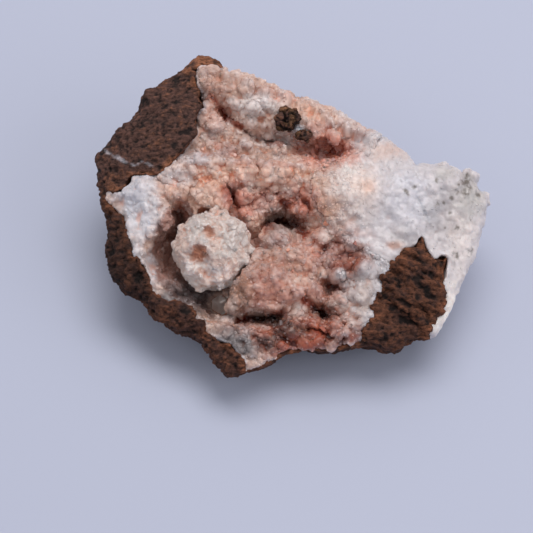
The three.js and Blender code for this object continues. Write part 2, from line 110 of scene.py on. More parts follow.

# Stains on the aragonite, and patches of painted light and painted shade: [across, up], half sizes,
# colour, strength. Later ones lie on top.
STAINS_LIGHT_AND_SHADE = [
    ([-18, 31], [5, 4], TAN, 1.0),
    ([-12, 29], [8, 3], TAN, 0.6),
    ([-4, 28], [7, 2.4], PINK, 0.4),
    ([-9, 25.4], [7, 3], PALE, 0.8),
    ([4, 25], [6, 2], PEACH, 0.5),
    ([-18, 24], [4, 6], PINK, 0.4),
    ([11, 20], [9, 3.4], PEACH, 0.6),
    ([6, 20.5], [5, 1.6], ROSE, 0.5),
    ([11, 20.4], [5, 2], BEIGE, 0.4),
    ([11, 20], [5, 2.4], DUSKY, 0.3),
    ([-19, 18], [4, 2.4], GREY, 0.3),
    ([-12, 15.4], [12, 3.4], TAN, 0.8),
    ([-16, 14.6], [5, 2.4], DUSKY, 0.8),
    ([-4, 17.6], [7, 2], PALE, 0.5),
    ([8, 14.6], [8, 4.8], BRICK, 1.0),
    ([1.2, 19.8], [1.6, 1.4], WHITE, 1.4),
    ([12, 13], [4, 2.4], BRICK, 0.8),
    ([4, 13], [3, 2], BRICK, 0.6),
    ([-1, 22.6], [2, 1.2], BRICK, 0.7),
    ([-22, 13], [4, 2], COOL_WHITE, 0.5),
    ([-12, 9.4], [14, 3], PEACH, 0.5),
    ([2, 8.6], [6, 3], PEACH, 0.5),
    ([-6, 11.8], [12, 1.2], PINK, 0.5),
    ([-7.6, 13], [3, 2], GREY, 0.18),
    # Painted light on the ridge.
    ([-9, 8.4], [8, 2], LIT_APRICOT, 1.0),
    ([-1.8, 8], [3, 2], PINK, 0.35),
    ([-35, 3], [6, 8], WHITE, 0.85),
    ([-35, 1], [5, 6], LILAC, 0.9),
    ([-38, 5], [5, 3], COOL_WHITE, 0.6),
    ([-27, 6], [4, 4], PEACH, 0.6),
    ([-20, 3], [6, 6], PEACH, 0.6),
    ([-26, 8.4], [4, 2.4], WHITE, 0.7),
    ([-21, 5], [3, 2], CREAM, 0.7),
    ([-26, -1], [2.6, 5], PINK, 0.9),
    ([-13, 3.5], [4, 5], BRICK, 1.0),
    ([-7, 3], [5, 3.6], PINK, 0.8),
    ([2, 3], [5, 4.5], BRICK, 1.0),
    ([2, 3], [3.4, 3], ROSE, 0.5),
    ([-11, -1], [2.6, 3], BRICK, 0.8),
    # Painted shadow in the slit under the boulder.
    ([-2, -1.6], [6, 3], UMBER_AND_SHADE, 0.6),
    ([-4, -5.8], [4, 3], DUSKY, 0.9),
    ([-9, -4], [3, 6], PINK, 0.6),
    # Painted light in the channel.
    ([-8.5, -2.6], [2.2, 2.6], LIT_APRICOT, 1.0),
    ([-4, -12], [8, 4], TAN, 1.0),
    ([-4, -12], [8, 4], PINK, 0.3),
    ([-5, -14], [5, 4], DUSKY, 0.35),
    ([-5, -18], [8, 5], PINK, 0.9),
    ([-12, -18], [3, 4], PEACH, 0.6),
    ([4, -18], [4, 5], PINK, 0.7),
    ([8, -8], [8, 6], PINK, 0.8),
    ([12, -10.4], [6, 4.6], DUSKY, 1.35),
    ([-9, -30], [4, 1.6], UMBER_AND_SHADE, 0.8),
    ([-2, -30.4], [4, 2], ROSE, 0.9),
    ([12, -11], [4, 3], ROSE, 1.0),
    ([13, -12], [4, 3], UMBER_AND_SHADE, 0.2),
    ([8.5, -8], [3, 2.4], ROSE, 0.9),
    ([9.2, -8.5], [4, 2.4], DUSKY, 0.8),
    ([7.6, -5], [2, 1.6], CREAM, 0.9),
    ([10.8, -13.6], [1.3, 1.5], WHITE, 1.0),
    ([16.5, -13], [2.2, 2.4], WHITE, 0.8),
    ([8, -17.5], [4, 3], PINK, 0.7),
    ([7, -22.5], [5, 3], UMBER_AND_SHADE, 0.75),
    ([15.3, -20], [2.8, 6.5], PALE_PINK, 1.0),
    ([13, -25], [3, 3.4], PEACH, 0.6),
    ([1, -27], [15, 5.5], ROSE, 1.1),
    ([3, -27.5], [12, 3.4], RUST, 0.55),
    ([-1, -26], [5, 2.4], UMBER_AND_SHADE, 0.8),
    ([-6, -29], [3, 2], UMBER_AND_SHADE, 0.7),
    ([9, -28.6], [3, 1.6], UMBER_AND_SHADE, 0.5),
    ([-6, -24], [6, 1.6], UMBER_AND_SHADE, 0.9),
    ([-13, -29.5], [7, 4], GREY, 1.0),
    ([-20, -19], [9, 5], UMBER_AND_SHADE, 0.9),
    ([-25, -19.4], [8, 3], GREY, 0.9),
    ([-36, -10], [2.6, 6], WHITE, 0.9),
    ([-32, -12], [2.4, 5], LILAC, 0.8),
    ([14, 6], [7, 7], MILKY, 1.2),
    ([8, 1.6], [4, 3], PEACH, 0.6),
    ([21, 15], [7, 2.6], CREAM, 0.6),
    ([23, -7], [2.4, 1.2], AMBER, 0.5),
    ([17, 6.4], [2, 2], PEACH, 0.4),
    ([27, 3], [8, 8], COOL_WHITE, 0.6),
    ([34, 0], [5, 7], GREY, 0.38),
    ([39.8, 6.2], [2.4, 3], GREY, 0.55),
    ([25, -5], [4, 3], GREY, 0.3),
    ([39, -6], [4, 10], PALE, 0.6),
    ([35, 9.6], [3, 1.6], BEIGE, 0.8),
    ([41, 3.4], [4, 5], BEIGE, 1.0),
    # Painted light on the low end of the vein.
    ([34, -21], [5, 6], LIT_SNOW, 1.0),
    ([22, 3], [4, 4], GREY, 0.1),
]
WHITE_FROM = (8, 16)  # the aragonite turns from pink to white between these places across

# Fine clefts in the aragonite: their line [across, up], half width and depth.
CLEFTS = [
    ([(-19.2, 28), (-16.8, 25.3), (-15.2, 22.8), (-12.6, 20.9)], 0.7, 1.6),
    ([(-13, 21.2), (-12, 20.6)], 1.0, 2.0),
    ([(-5.5, 17), (-2.5, 16.6)], 1.0, 1.6),
    ([(-16.2, 5.6), (-13.6, 3.4)], 1.1, 1.8),
    ([(-2.6, 2.8), (-1.2, 2.4)], 0.8, 1.4),
    ([(3, 3.2), (3.8, 1.8)], 0.8, 1.4),
    ([(-6.4, -2.8), (-3.4, -0.8), (0.5, -2.2), (2.8, -4.6)], 1.1, 2.4),
    ([(-12.4, -24.6), (-7, -23.4), (-2.6, -22.4)], 0.9, 2.4),
    ([(8.2, -16.4), (10, -17)], 1.3, 1.5),
    ([(2.6, -19.6), (5.6, -21.8), (8, -23)], 1.2, 2.0),
    ([(-2.4, -28.2), (0.4, -29)], 0.8, 1.4),
    ([(3.6, -26.2), (8, -27.4)], 0.8, 1.5),
    ([(-9, -28), (-6.5, -30)], 0.9, 1.4),
    ([(10, -29.6), (12, -27.8)], 0.6, 1.2),
]
# The dark pocket beside the ball: its middle line [across, up], half width and added depth.
POCKET = (
    [(-27.4, -1.6), (-28.4, -4.6), (-29.6, -9.2), (-28.4, -13.8), (-24.4, -17.2), (-19, -19.4)],
    2.8, 1.8,
)
POCKET_COLOUR = (0.40, 0.225, 0.185)
POCKET_FLOOR = (0.17, 0.125, 0.12)
CRYSTAL_FOOT = (-17.2, -20.4)  # where the clear crystal stands

# Beads of aragonite on the right slope and in the lower trough: [across, up] and half width.
BEADS = [
    ([6.4, -5.8], 1.6), ([9, -4.4], 1.2), ([12.7, -3.1], 1.5), ([13.7, -6.8], 1.7),
    ([10.6, -7.6], 1.3), ([9.6, -13.6], 1.5), ([15.8, -13], 1.6), ([12.8, -11], 1.2),
    ([15.3, -18.3], 1.5), ([14.4, -22], 1.3), ([6.2, -10.6], 1.3), ([3.4, -7.4], 1.2),
    ([-0.4, 1.2], 1.2), ([1.8, 4.4], 1.1), ([-4.4, 3.2], 1.2), ([-9.2, 4.8], 1.3),
    ([4.6, 0.2], 1.2), ([-7.4, 0.6], 1.1), ([12.6, -15.8], 1.1), ([11.4, -19.4], 1.2),
]
# Olive specks in the white end: [across, up] and half width.
SPECKS = [
    ([39.8, 7.6], 1.5), ([39.4, 5.2], 1.3), ([41, 6.4], 0.8), ([38.2, 7], 0.7), ([40.2, 9.2], 0.7),
    ([26, 5.3], 0.9), ([28.1, 6.4], 0.8), ([33.4, 2.5], 0.6), ([34.5, 2.8], 0.5), ([38, 5.3], 0.9),
    ([42.6, 4.6], 0.9), ([43, 6.2], 0.7), ([32, -2.8], 0.4), ([37.7, -3], 0.7), ([38.4, -5.5], 0.6),
    ([37.5, -9.4], 1.1), ([40.7, -8.5], 0.8), ([34.7, -3], 0.4), ([30, 1], 0.4), ([36, 0.4], 0.4),
    ([33, 8], 0.5), ([29.6, -5.4], 0.4), ([36.4, 3.8], 0.6),
]
HAIR_CRACK = [(28.4, 4.2), (29.8, 1.6), (31, -1.4)]  # a fine crack in the white end, [across, up]
# The upper edge, where the aragonite hangs over the rock, [across, up].
UPPER_EDGE = [
    (-13.4, 33.4), (-11, 33.6), (-7.5, 31.8), (-1, 29.2), (4.6, 26.8), (10.7, 23.5), (16.8, 20.2),
    (22, 17.6),
]
SEAM_STAIN_AND_GLOW = (-0.2, 0.08, 0.2)  # what red, green and blue lose in the seams of aragonite: iron stain and a painted warm glow
HOLLOW_STAIN_AND_SHADE = (0.08, 0.38, 0.46)  # and what they lose in its hollows: iron stain and painted shade


def stained_lit_and_shaded(face):
    """The aragonite's colour at points of the face: ragged stains, with patches of painted light and
    shade, on pink or white.
    """
    ragged = 0.35 * noise_at(face, 5, 3) + 0.25 * noise_at(face, 1.6, 2)
    plain = np.tile(CREAM, (len(face), 1))
    colours = mixed(plain, WHITE, smooth_step(face[:, 0] + 5 * ragged, *WHITE_FROM))
    for at, size, colour, strength in STAINS_LIGHT_AND_SHADE:
        away = distance_to(face, at, size)
        colours = mixed(colours, colour, strength * np.clip(1.6 - 1.3 * (away + ragged), 0, 1))
    return colours


def weathered_and_shaded(colours, fine, wide, points):
    """Iron stains the seams and hollows of aragonite, with a painted warm glow in the seams and painted
    shade in the hollows, and what stands out is paler as painted light.

    `fine` and `wide` say how far points lie below their surroundings, near and further around.
    """
    # Painted light where the surface stands out, and paler in random patches.
    pale = 0.15 * smooth_step(-fine, 0.05, 0.5) + 0.25 * smooth_step(noise_at(points, 3, 3), 0, 0.5)
    colours = mixed(colours, WHITE, pale * smooth_step(colours[:, 1], 0.08, 0.3))
    redness = 1 - colours[:, 1] / colours[:, 0]
    thread = smooth_step(redness, 0.12, 0.3) * smooth_step(redness, 0.2, 0.35)
    thread *= smooth_step(ridges_at(bent(points, 3, 0.4), 2.6, 3, 4.4), 0.5, 0.85)
    colours = mixed(colours, AMBER, 0.22 * thread)
    # Iron stain and a painted warm glow in the seams, iron stain and painted shade in the hollows.
    seam = smooth_step(fine, 0.02, 0.45) * smooth_step(colours[:, 1] / colours[:, 0], 0.3, 0.6)
    return dimmed(dimmed(colours, SEAM_STAIN_AND_GLOW, seam), HOLLOW_STAIN_AND_SHADE, smooth_step(wide, 0.5, 2.5))


def spotted(colours, face):
    """Sets the specks and the hair crack in the white end of the aragonite."""
    uneven = 0.9 * noise_at(face * (1, 0.8, 1), 0.8, 4)
    speck = np.zeros(len(face))
    for at, size in SPECKS:
        away = distance_to(face, at) / size + uneven
        speck = np.maximum(speck, 1 - smooth_step(away, 0.0, 1.1))
    colours = mixed(colours, OLIVE, 0.8 * speck)
    away = distance_to_line(face, HAIR_CRACK) + 0.3 * noise_at(face, 1.5, 2)
    return mixed(colours, SLATE, 0.5 * smooth_step(-away, -0.45, 0))


def pocket_at(face):
    """How far points of the face lie in the pocket beside the ball, from 0 to 1."""
    line, width, _ = POCKET
    ragged = distance_to_line(face, line) + 0.8 * noise_at(face, 2.5, 3)
    return smooth_step(-ragged, -1.35 * width, -0.65 * width)


# ---------------------------------------------------------------- numbers over points


def to_face(points):
    """Points in metres as [across, up, out] on the face, in millimetres."""
    matrix = np.array(FROM_FACE.inverted())
    return (points @ matrix[:3, :3].T + matrix[:3, 3]) / MM


def distance_to(face, at, size=1.0):
    """How far points of the face are from a place on it: in millimetres, or in half sizes."""
    return np.hypot(*((face[:, :2] - at) / size).T)


def distance_to_line(face, line):
    """The least distance on the face from points to a line of straight stretches."""
    least = np.full(len(face), 1e9)
    for start, end in zip(line, line[1:]):
        start, way = np.array(start), np.array(end) - np.array(start)
        share = np.clip(((face[:, :2] - start) @ way) / (way @ way), 0, 1)
        away = face[:, :2] - start - share[:, None] * way
        least = np.minimum(least, np.hypot(away[:, 0], away[:, 1]))
    return least


def distance_to_nodes(points, *nodes):
    """How far points in metres are from the frame's nodes, in millimetres."""
    least = np.full(len(points), 1e9)
    for tree in map(tree_of, nodes):
        least = np.minimum(least, [tree.find_nearest(p)[3] / MM for p in points.tolist()])
    return least


def noise_at(points, scale, octaves=3, offset=0.0):
    """Smooth noise from about -1 to 1 at points in millimetres."""
    scaled = (points / scale + offset).tolist()
    return np.array([noise.fractal(p, 1.0, 2.0, octaves) for p in scaled])


def ridges_at(points, scale, octaves=4, offset=0.0):
    """Sharp ridges from 0 to about 1."""
    scaled = (points / scale + offset).tolist()
    return np.array([noise.ridged_multi_fractal(p, 1.0, 2.0, octaves, 1.0, 2.0) for p in scaled]) / 2


def bent(points, size, amount):
    """Points moved about a little, so that what is laid out over them isn't regular."""
    moved = [tuple(noise.noise_vector(p)) for p in (points / size).tolist()]
    return points + amount * size * np.array(moved)


def lobes_at(points, size):
    """The height of rounded lobes that meet in sharp seams, from 0 to 1."""
    nearest = np.array([noise.voronoi(p)[0][0] for p in (points / size).tolist()])
    return np.clip(1 - 1.2 * nearest**2, 0, 1)


def smooth_step(values, low, high):
    share = np.clip((values - low) / (high - low), 0, 1)
    return share * share * (3 - 2 * share)


def mixed(colours, colour, share):
    """Colours drawn towards one colour, or each towards its own, by a share for each point."""
    return colours + share[:, None] * (np.array(colour) - colours)


def dimmed(colours, loss, share):
    """Colours that lose parts of their red, green and blue, by a share for each point."""
    return colours * (1 - share[:, None] * np.array(loss))


# ---------------------------------------------------------------- meshes

FLAT_BELOW = (0.0, 2.5)  # millimetres above the base between which a piece starts to take relief
HIDDEN_WITHIN = 1.2  # millimetres between two pieces that hide each other
HIDDEN_KEPT = 0.15  # share of the faces kept where nobody sees them
MERGE = 1e-7  # metres between points that are one


def coordinates(mesh):
    flat = np.empty(len(mesh.vertices) * 3)
    mesh.vertices.foreach_get("co", flat)
    return flat.reshape(-1, 3)


def normals(mesh):
    flat = np.empty(len(mesh.vertices) * 3)
    mesh.vertex_normals.foreach_get("vector", flat)
    return flat.reshape(-1, 3)


def set_coordinates(mesh, points):
    mesh.vertices.foreach_set("co", points.ravel())
    mesh.update()


def above_base(points):
    """How freely points may move: not at all on the flat base, and fully a little above it."""
    return smooth_step(points[:, 2] / MM, *FLAT_BELOW)


def jumble(mesh, size, amount):
    """Moves points about, so that what has grown isn't regular: millimetres of size and of amount."""
    points = coordinates(mesh)
    moved = bent(points / MM, size, amount / size) * MM
    set_coordinates(mesh, points + (moved - points) * above_base(points)[:, None])


def shift(mesh, way, amount):
    """Moves points along one direction of the face, by an amount in millimetres."""
    way = np.array(FROM_FACE)[:3, :3] @ np.array(way)
    set_coordinates(mesh, coordinates(mesh) + way * (amount * MM)[:, None])


def swell(mesh, amount):
    """Moves every point along its normal by an amount in millimetres, and leaves the base flat."""
    points = coordinates(mesh)
    points += normals(mesh) * (amount * above_base(points) * MM)[:, None]
    points[:, 2] = np.maximum(points[:, 2], 0)
    set_coordinates(mesh, points)


def grow(mesh, layers, share=1.0):
    """Grows layers of rounded lobes or of plain unevenness, each of a size and height."""
    for kind, size, height in layers:
        points = bent(coordinates(mesh) / MM + 7 * size, size, 0.45)
        relief = lobes_at(points, size) - 0.55 if kind == "lobes" else noise_at(points, size, 4)
        swell(mesh, height * relief * share)


def soften(mesh, times):
    """Rounds the facets of an even mesh."""
    shape = bmesh.new()
    shape.from_mesh(mesh)
    for _ in range(times):
        bmesh.ops.smooth_vert(
            shape, verts=shape.verts, factor=0.5, use_axis_x=True, use_axis_y=True, use_axis_z=True
        )
    shape.to_mesh(mesh)
    shape.free()


def hollowness(mesh, rounds):
    """How far each point lies below its surroundings, in millimetres: less than 0 on a bump."""
    ends = np.empty(len(mesh.edges) * 2, np.int64)
    mesh.edges.foreach_get("vertices", ends)
    one, two = ends.reshape(-1, 2).T
    count = len(mesh.vertices)
    shares = np.bincount(one, minlength=count) + np.bincount(two, minlength=count)
    points = coordinates(mesh)
    levelled = points.copy()
    for _ in range(rounds):
        for axis in range(3):
            line = levelled[:, axis]
            total = np.bincount(one, line[two], count) + np.bincount(two, line[one], count)
            levelled[:, axis] = total / shares
    return np.sum((levelled - points) * normals(mesh), axis=1) / MM


def add_colour(mesh, colours):
    """Gives a piece its tint, which its material reads."""
    opaque = np.column_stack([np.clip(colours, 0, 1), np.ones(len(colours))]).astype(np.float32)
    mesh.attributes.new("tint", "FLOAT_COLOR", "POINT").data.foreach_set("color", opaque.ravel())


def new_piece(name, mesh):
    piece = bpy.data.objects.new(name, mesh)
    bpy.context.scene.collection.objects.link(piece)
    return piece


def finish_piece(piece, material, slot, *nodes, smooth=True):
    piece.data.materials.clear()
    piece.data.materials.append(material)
    piece.data.polygons.foreach_set("use_smooth", [smooth] * len(piece.data.polygons))
    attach(piece, "root")
    if nodes:
        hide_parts(*nodes)


def merged_copy(node):
    """A copy of a frame node's mesh with its loose triangles joined."""
    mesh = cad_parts[node].data.copy()
    shape = bmesh.new()
    shape.from_mesh(mesh)
    bmesh.ops.remove_doubles(shape, verts=shape.verts, dist=MERGE)
    shape.to_mesh(mesh)
    shape.free()
    return mesh


def template(make, **settings):
    """The points and triangles of a plain solid around the origin."""
    shape = bmesh.new()
    make(shape, **settings)
    bmesh.ops.triangulate(shape, faces=shape.faces)
    mesh = bpy.data.meshes.new("template")
    shape.to_mesh(mesh)
    shape.free()
    points = coordinates(mesh)
    faces = np.array([tuple(face.vertices) for face in mesh.polygons])
    bpy.data.meshes.remove(mesh)
    return points, faces


def tree_of(node):
    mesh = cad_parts[node].data
    return BVHTree.FromPolygons(coordinates(mesh).tolist(), [p.vertices for p in mesh.polygons])


def facing_others(mesh, node):
    """Which points look straight at another node that is close to them."""
    others = [tree_of(other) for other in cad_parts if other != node]
    looks = zip(coordinates(mesh).tolist(), normals(mesh).tolist())
    return np.array([
        any(tree.ray_cast(point, out, HIDDEN_WITHIN * MM)[0] is not None for tree in others)
        for point, out in looks
    ])


def with_modifier(piece, kind, **settings):
    """Puts a modifier on a piece and applies it."""
    modifier = piece.modifiers.new(kind, kind)
    for key, value in settings.items():
        setattr(modifier, key, value)
    changed = piece.evaluated_get(bpy.context.evaluated_depsgraph_get())
    mesh = bpy.data.meshes.new_from_object(changed)
    piece.modifiers.clear()
    old, piece.data = piece.data, mesh
    bpy.data.meshes.remove(old)


def fine_copy(node, name, step, lumps=()):
    """A copy of a frame node as an even mesh with a step in metres, thinned where it is hidden.

    Lumps, each a place and a half width in metres, grow together with it.
    """
    mesh = merged_copy(node)
    lump, sides = template(bmesh.ops.create_cone, **LUMP_SHAPE)
    lump *= LUMP_STRETCH
    points = [coordinates(mesh)]
    faces = [tuple(face.vertices) for face in mesh.polygons]
    start = len(mesh.vertices)
    for place, size in lumps:
        lean = noise.noise_vector(place / (LUMP_TURN * MM))
        turn = np.array(lean.to_track_quat("Z", "Y").to_matrix())
        points.append(size * lump @ turn.T + np.array(place))
        faces += (sides + start).tolist()
        start += len(lump)
    bpy.data.meshes.remove(mesh)
    mesh = bpy.data.meshes.new(name)
    mesh.from_pydata(np.concatenate(points), [], faces)
    piece = new_piece(name, mesh)
    with_modifier(piece, "REMESH", mode="VOXEL", voxel_size=step)
    hidden = facing_others(piece.data, node)
    group = piece.vertex_groups.new(name="hidden")
    group.add(np.flatnonzero(hidden).tolist(), 1.0, "REPLACE")
    kept = 1 - (1 - HIDDEN_KEPT) * hidden.mean()
    with_modifier(piece, "DECIMATE", ratio=kept, vertex_group="hidden", vertex_group_factor=1000)
    piece.vertex_groups.clear()
    piece.data.name = name
    return piece


# ---------------------------------------------------------------- crystals

# The lumps that grow together with the aragonite are stout prisms, wider at one end. Their
# direction changes slowly from place to place.
LUMP_SHAPE = {"cap_ends": True, "segments": 6, "radius1": 1.05, "radius2": 0.75, "depth": 1.8}
LUMP_STRETCH = (0.75, 1.0, 1.25)
LUMP_TURN = 5  # millimetres in which their direction changes
LUMP_SUNK = 0.65  # how far a lump's middle lies in its host, as a share of its half width
LARGE = (0.8, 1.7)  # half widths of the large lumps, in millimetres
SMALL = (0.35, 0.9)  # and of the small ones
BALL_LARGE = (1.1, 2.1)
# The loose grains are stubby prisms of these numbers of sides, with these half widths at the tip.
GRAIN_KINDS = ((6, 0.3), (4, 0.4), (5, 0.25))
GRAIN_LEAN = 0.45  # how far they lean from their host's normal
GRAIN_STRETCH = (0.75, 1.25)  # the least and greatest share by which they are stretched


def lump_places(node, count, weight, seed):
    """Random places where a node looks out of the face, by a weight over the face, and its normals."""
    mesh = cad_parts[node].data
    mesh.calc_loop_triangles()
    corners = coordinates(mesh)[np.array([tuple(t.vertices) for t in mesh.loop_triangles])]
    out = np.cross(corners[:, 1] - corners[:, 0], corners[:, 2] - corners[:, 0])
    facing = np.maximum(out @ OUT, 0)
    chance = np.random.default_rng(seed)
    tries = 4 * count
    chosen = chance.choice(len(corners), tries, p=facing / facing.sum())
    one, two = np.sqrt(chance.random(tries))[:, None], chance.random(tries)[:, None]
    first, second, third = corners[chosen].transpose(1, 0, 2)
    places = (1 - one) * first + one * (1 - two) * second + one * two * third
    out = out[chosen] / np.linalg.norm(out[chosen], axis=1)[:, None]
    kept = chance.random(tries) < weight(to_face(places))
    return places[kept][:count], out[kept][:count]


def random_lumps(node, count, sizes, weight, seed):
    """Lumps strewn over a node's front, as places and half widths in metres."""
    places, out = lump_places(node, count, weight, seed)
    chance = np.random.default_rng(seed)
    widths = (sizes[0] + (sizes[1] - sizes[0]) * chance.random(len(places)) ** 2) * MM
    middles = places - out * LUMP_SUNK * widths[:, None]
    return list(zip(map(Vector, middles), widths))


def scattered(name, mesh, allowed, count, sizes, sunk, seed):
    """A mesh of small crystals standing on another mesh, and the host's point under each of them.

    `allowed` weighs the host's points, and sizes are the least and greatest width in millimetres.
    A crystal's middle is sunk into the host by a share of its width.
    """
    chance = np.random.default_rng(seed)
    points, out = coordinates(mesh), normals(mesh)
    order = np.lexsort(np.round(points.T / MM, 3))
    allowed = allowed[order]
    host = order[chance.choice(len(points), count, replace=False, p=allowed / allowed.sum())]
    width = sizes[0] + (sizes[1] - sizes[0]) * chance.random(count) ** 2
    lean = out[host] + GRAIN_LEAN * chance.normal(size=(count, 3))
    lean /= np.linalg.norm(lean, axis=1)[:, None]
    side = np.cross(lean, chance.normal(size=(count, 3)))
    side /= np.linalg.norm(side, axis=1)[:, None]
    turned = np.stack([side, np.cross(lean, side), lean], axis=2)
    least, greatest = GRAIN_STRETCH
    places, faces, owners, start = [], [], [], 0
    for kind, (sides, tip) in enumerate(GRAIN_KINDS):
        corners, triangles = template(
            bmesh.ops.create_cone, cap_ends=True, segments=sides, radius1=0.5, radius2=tip, depth=1.0
        )
        mine = np.arange(kind, count, len(GRAIN_KINDS))
        stretch = least + (greatest - least) * chance.random((len(mine), 3))
        local = corners[None] * (width[mine, None] * MM * stretch)[:, None, :]
        middle = points[host[mine]] - out[host[mine]] * (sunk * width[mine, None] * MM)
        world = np.einsum("nij,npj->npi", turned[mine], local) + middle[:, None, :]
        places.append(world.reshape(-1, 3))
        firsts = start + np.arange(len(mine)) * len(corners)
        faces.append((triangles[None] + firsts[:, None, None]).reshape(-1, 3))
        owners.append(np.repeat(host[mine], len(corners)))
        start += len(mine) * len(corners)
    grains = bpy.data.meshes.new(name)
    grains.from_pydata(np.concatenate(places), [], np.concatenate(faces))
    return grains, np.concatenate(owners)


def add_grains(name, host, weights, count, sizes, sunk, seed, material, slot, pale=0.3):
    """Small crystals on a piece, each with the tint that the piece has under it."""
    tints = np.empty(len(host.vertices) * 4, np.float32)
    host.attributes["tint"].data.foreach_get("color", tints)
    grains, owners = scattered(name, host, weights, count, sizes, sunk, seed)
    chance = np.random.default_rng(seed + 1)
    own = np.unique(owners, return_inverse=True)[1]
    shade = (0.92 + 0.3 * chance.random(own.max() + 1))[own]
    whiten = (pale * chance.random(own.max() + 1) ** 2)[own]
    add_colour(grains, mixed(tints.reshape(-1, 4)[owners, :3] * shade[:, None], WHITE, whiten))
    points = coordinates(grains)
    points[:, 2] = np.maximum(points[:, 2], 0)
    set_coordinates(grains, points)
    finish_piece(new_piece(name, grains), material, slot, smooth=False)


# ---------------------------------------------------------------- what grew on several pieces

UPPER_OVERHANG = (0, 1.1, 0.5)  # [across, up, out] by which the lining hangs over the upper edge
SEAM_WIDTH = 3.5  # millimetres beside the line where the two aragonites meet
SEAM_RINGS = (0.4, 1.4, 2.4)  # millimetres around a point over which their front is levelled
SEAM_TURNS = 8  # places on each ring
SEAM_START = 20  # millimetres in front of the face from which the front is looked for
SEAM_LIMIT = 4  # millimetres off the level past which a point is left alone
SEAM_RIDGE = 0.5  # millimetres by which the seam stands up, so that it closes
JUMBLE = (2.2, 0.5)  # how far apart and by how much what has grown is moved about, in millimetres
FRONT_FROM = -14  # millimetres out of the face: what lies further back isn't seen
BEAD_HEIGHT = 0.55  # as a share of a bead's half width
NEAR, AROUND = 60, 250  # rounds of levelling that show hollows near a point and further around it


def common_level(points, *nodes):
    """How high the nodes' common front lies above points on the whole, in millimetres."""
    trees = [tree_of(node) for node in nodes]
    turned = FROM_FACE.to_3x3()
    out = turned.col[2]
    turns = [tau * index / SEAM_TURNS for index in range(SEAM_TURNS)]
    ring = [turned @ Vector((cos(t), sin(t), 0)) * r * MM for r in SEAM_RINGS for t in turns]
    levels = np.zeros(len(points))
    for index, point in enumerate(points.tolist()):
        start = Vector(point) + SEAM_START * MM * out
        hits = [[tree.ray_cast(start + step, -out)[3] for tree in trees] for step in ring]
        reach = [min(hit for hit in each if hit is not None) for each in hits if any(each)]
        if reach:
            levels[index] = SEAM_START - sum(reach) / len(reach) / MM
    return levels


def blend(mesh, node, other):
    """Levels a piece with its neighbour along the line where they meet, as if they had grown as one."""
    points = coordinates(mesh)
    away = distance_to_nodes(points, other)
    front = np.flatnonzero((away < SEAM_WIDTH) & (normals(mesh) @ OUT > 0.1))
    level = common_level(points[front], node, other)
    share = smooth_step(-away[front], -SEAM_WIDTH, -1) * (np.abs(level) < SEAM_LIMIT)
    share *= smooth_step(distance_to_line(to_face(points[front]), UPPER_EDGE), 0, 1.5)
    points[front] += OUT * ((share * level + SEAM_RIDGE * share) * MM)[:, None]
    set_coordinates(mesh, points)


def seam_at(mesh, other):
    """How close a piece's points are to the neighbour that they should close up with, from 0 to 1."""
    return smooth_step(-distance_to_nodes(coordinates(mesh), other), -1.5, -0.3)


def carve(mesh, face):
    """Cuts the clefts into a piece and raises its beads, and gives each point's cut, from 0 to 1."""
    cut = np.zeros(len(face))
    for line, width, depth in CLEFTS:
        ragged = distance_to_line(face, line) + 0.5 * noise_at(face, 2, 2)
        cut = np.maximum(cut, depth * np.exp(-((np.maximum(ragged, 0) / width) ** 2)))
    cut = np.maximum(cut, POCKET[2] * pocket_at(face))
    bead = np.zeros(len(face))
    uneven = 0.25 * noise_at(face, 1.5, 2)
    for at, size in BEADS:
        away = distance_to(face, at) / size + uneven
        bead = np.maximum(bead, BEAD_HEIGHT * size * np.sqrt(np.clip(1 - away**2, 0, 1)))
    front = face[:, 2] > FRONT_FROM
    set_coordinates(mesh, coordinates(mesh) + OUT * ((bead - cut) * front * MM)[:, None])
    return smooth_step(cut, 0.2, 2.0) * front


# ---------------------------------------------------------------- materials

# The sockets of a Mix node that mixes colours. Their names are shared with others of the node.
MIX_FACTOR, MIX_A, MIX_B, MIX_RESULT = 0, 6, 7, 2
# How crystals look that have grown together, and how loose ones do: lengths are in millimetres.
CRUST = {"roughness": 0.36, "translucence": 0.85, "reach": 1.5, "bump_height": 0.05}
BALL_CRUST = {"roughness": 0.36, "translucence": 0.9, "reach": 2.0, "bump_height": 0.05}
GRAINS = {"roughness": 0.3, "translucence": 0.15, "reach": 0.5, "bump_height": 0.02}


def node_material(name):
    """A new material, its shader, a function that adds nodes, its links and the place on the piece."""
    material = bpy.data.materials.new(name)
    material.use_nodes = True
    nodes, links = material.node_tree.nodes, material.node_tree.links

    def add(kind, inputs=(), **settings):
        node = nodes.new("ShaderNode" + kind)
        for key, value in settings.items():
            setattr(node, key, value)
        for key, value in dict(inputs).items():
            if isinstance(value, bpy.types.NodeSocket):
                links.new(value, node.inputs[key])
            else:
                node.inputs[key].default_value = value
        return node

    return material, nodes["Principled BSDF"], add, links, add("TexCoord").outputs["Object"]


def set_inputs(shader, **values):
    for name, value in values.items():
        shader.inputs[name.replace("_", " ")].default_value = value


def noise_node(add, place, size, detail=4, rough=0.6):
    """Noise whose largest features are about a size in millimetres."""
    inputs = {"Vector": place, "Scale": 1 / (size * MM), "Detail": detail, "Roughness": rough}
    return add("TexNoise", inputs).outputs["Fac"]


def colour_by_tint(shader, add, links, grain, noise_range, shade_range):
    """Colours a surface by its piece's own tint, shaded by a grain between two ranges."""
    tint = add("Attribute", attribute_name="tint").outputs["Color"]
    (low, high), (dark, pale) = noise_range, shade_range
    shade = add(
        "MapRange",
        {"Value": grain, "From Min": low, "From Max": high, "To Min": dark, "To Max": pale},
    )
    inputs = {MIX_FACTOR: 1.0, MIX_A: tint, MIX_B: shade.outputs["Result"]}
    colour = add("Mix", inputs, data_type="RGBA", blend_type="MULTIPLY")
    links.new(colour.outputs[MIX_RESULT], shader.inputs["Base Color"])


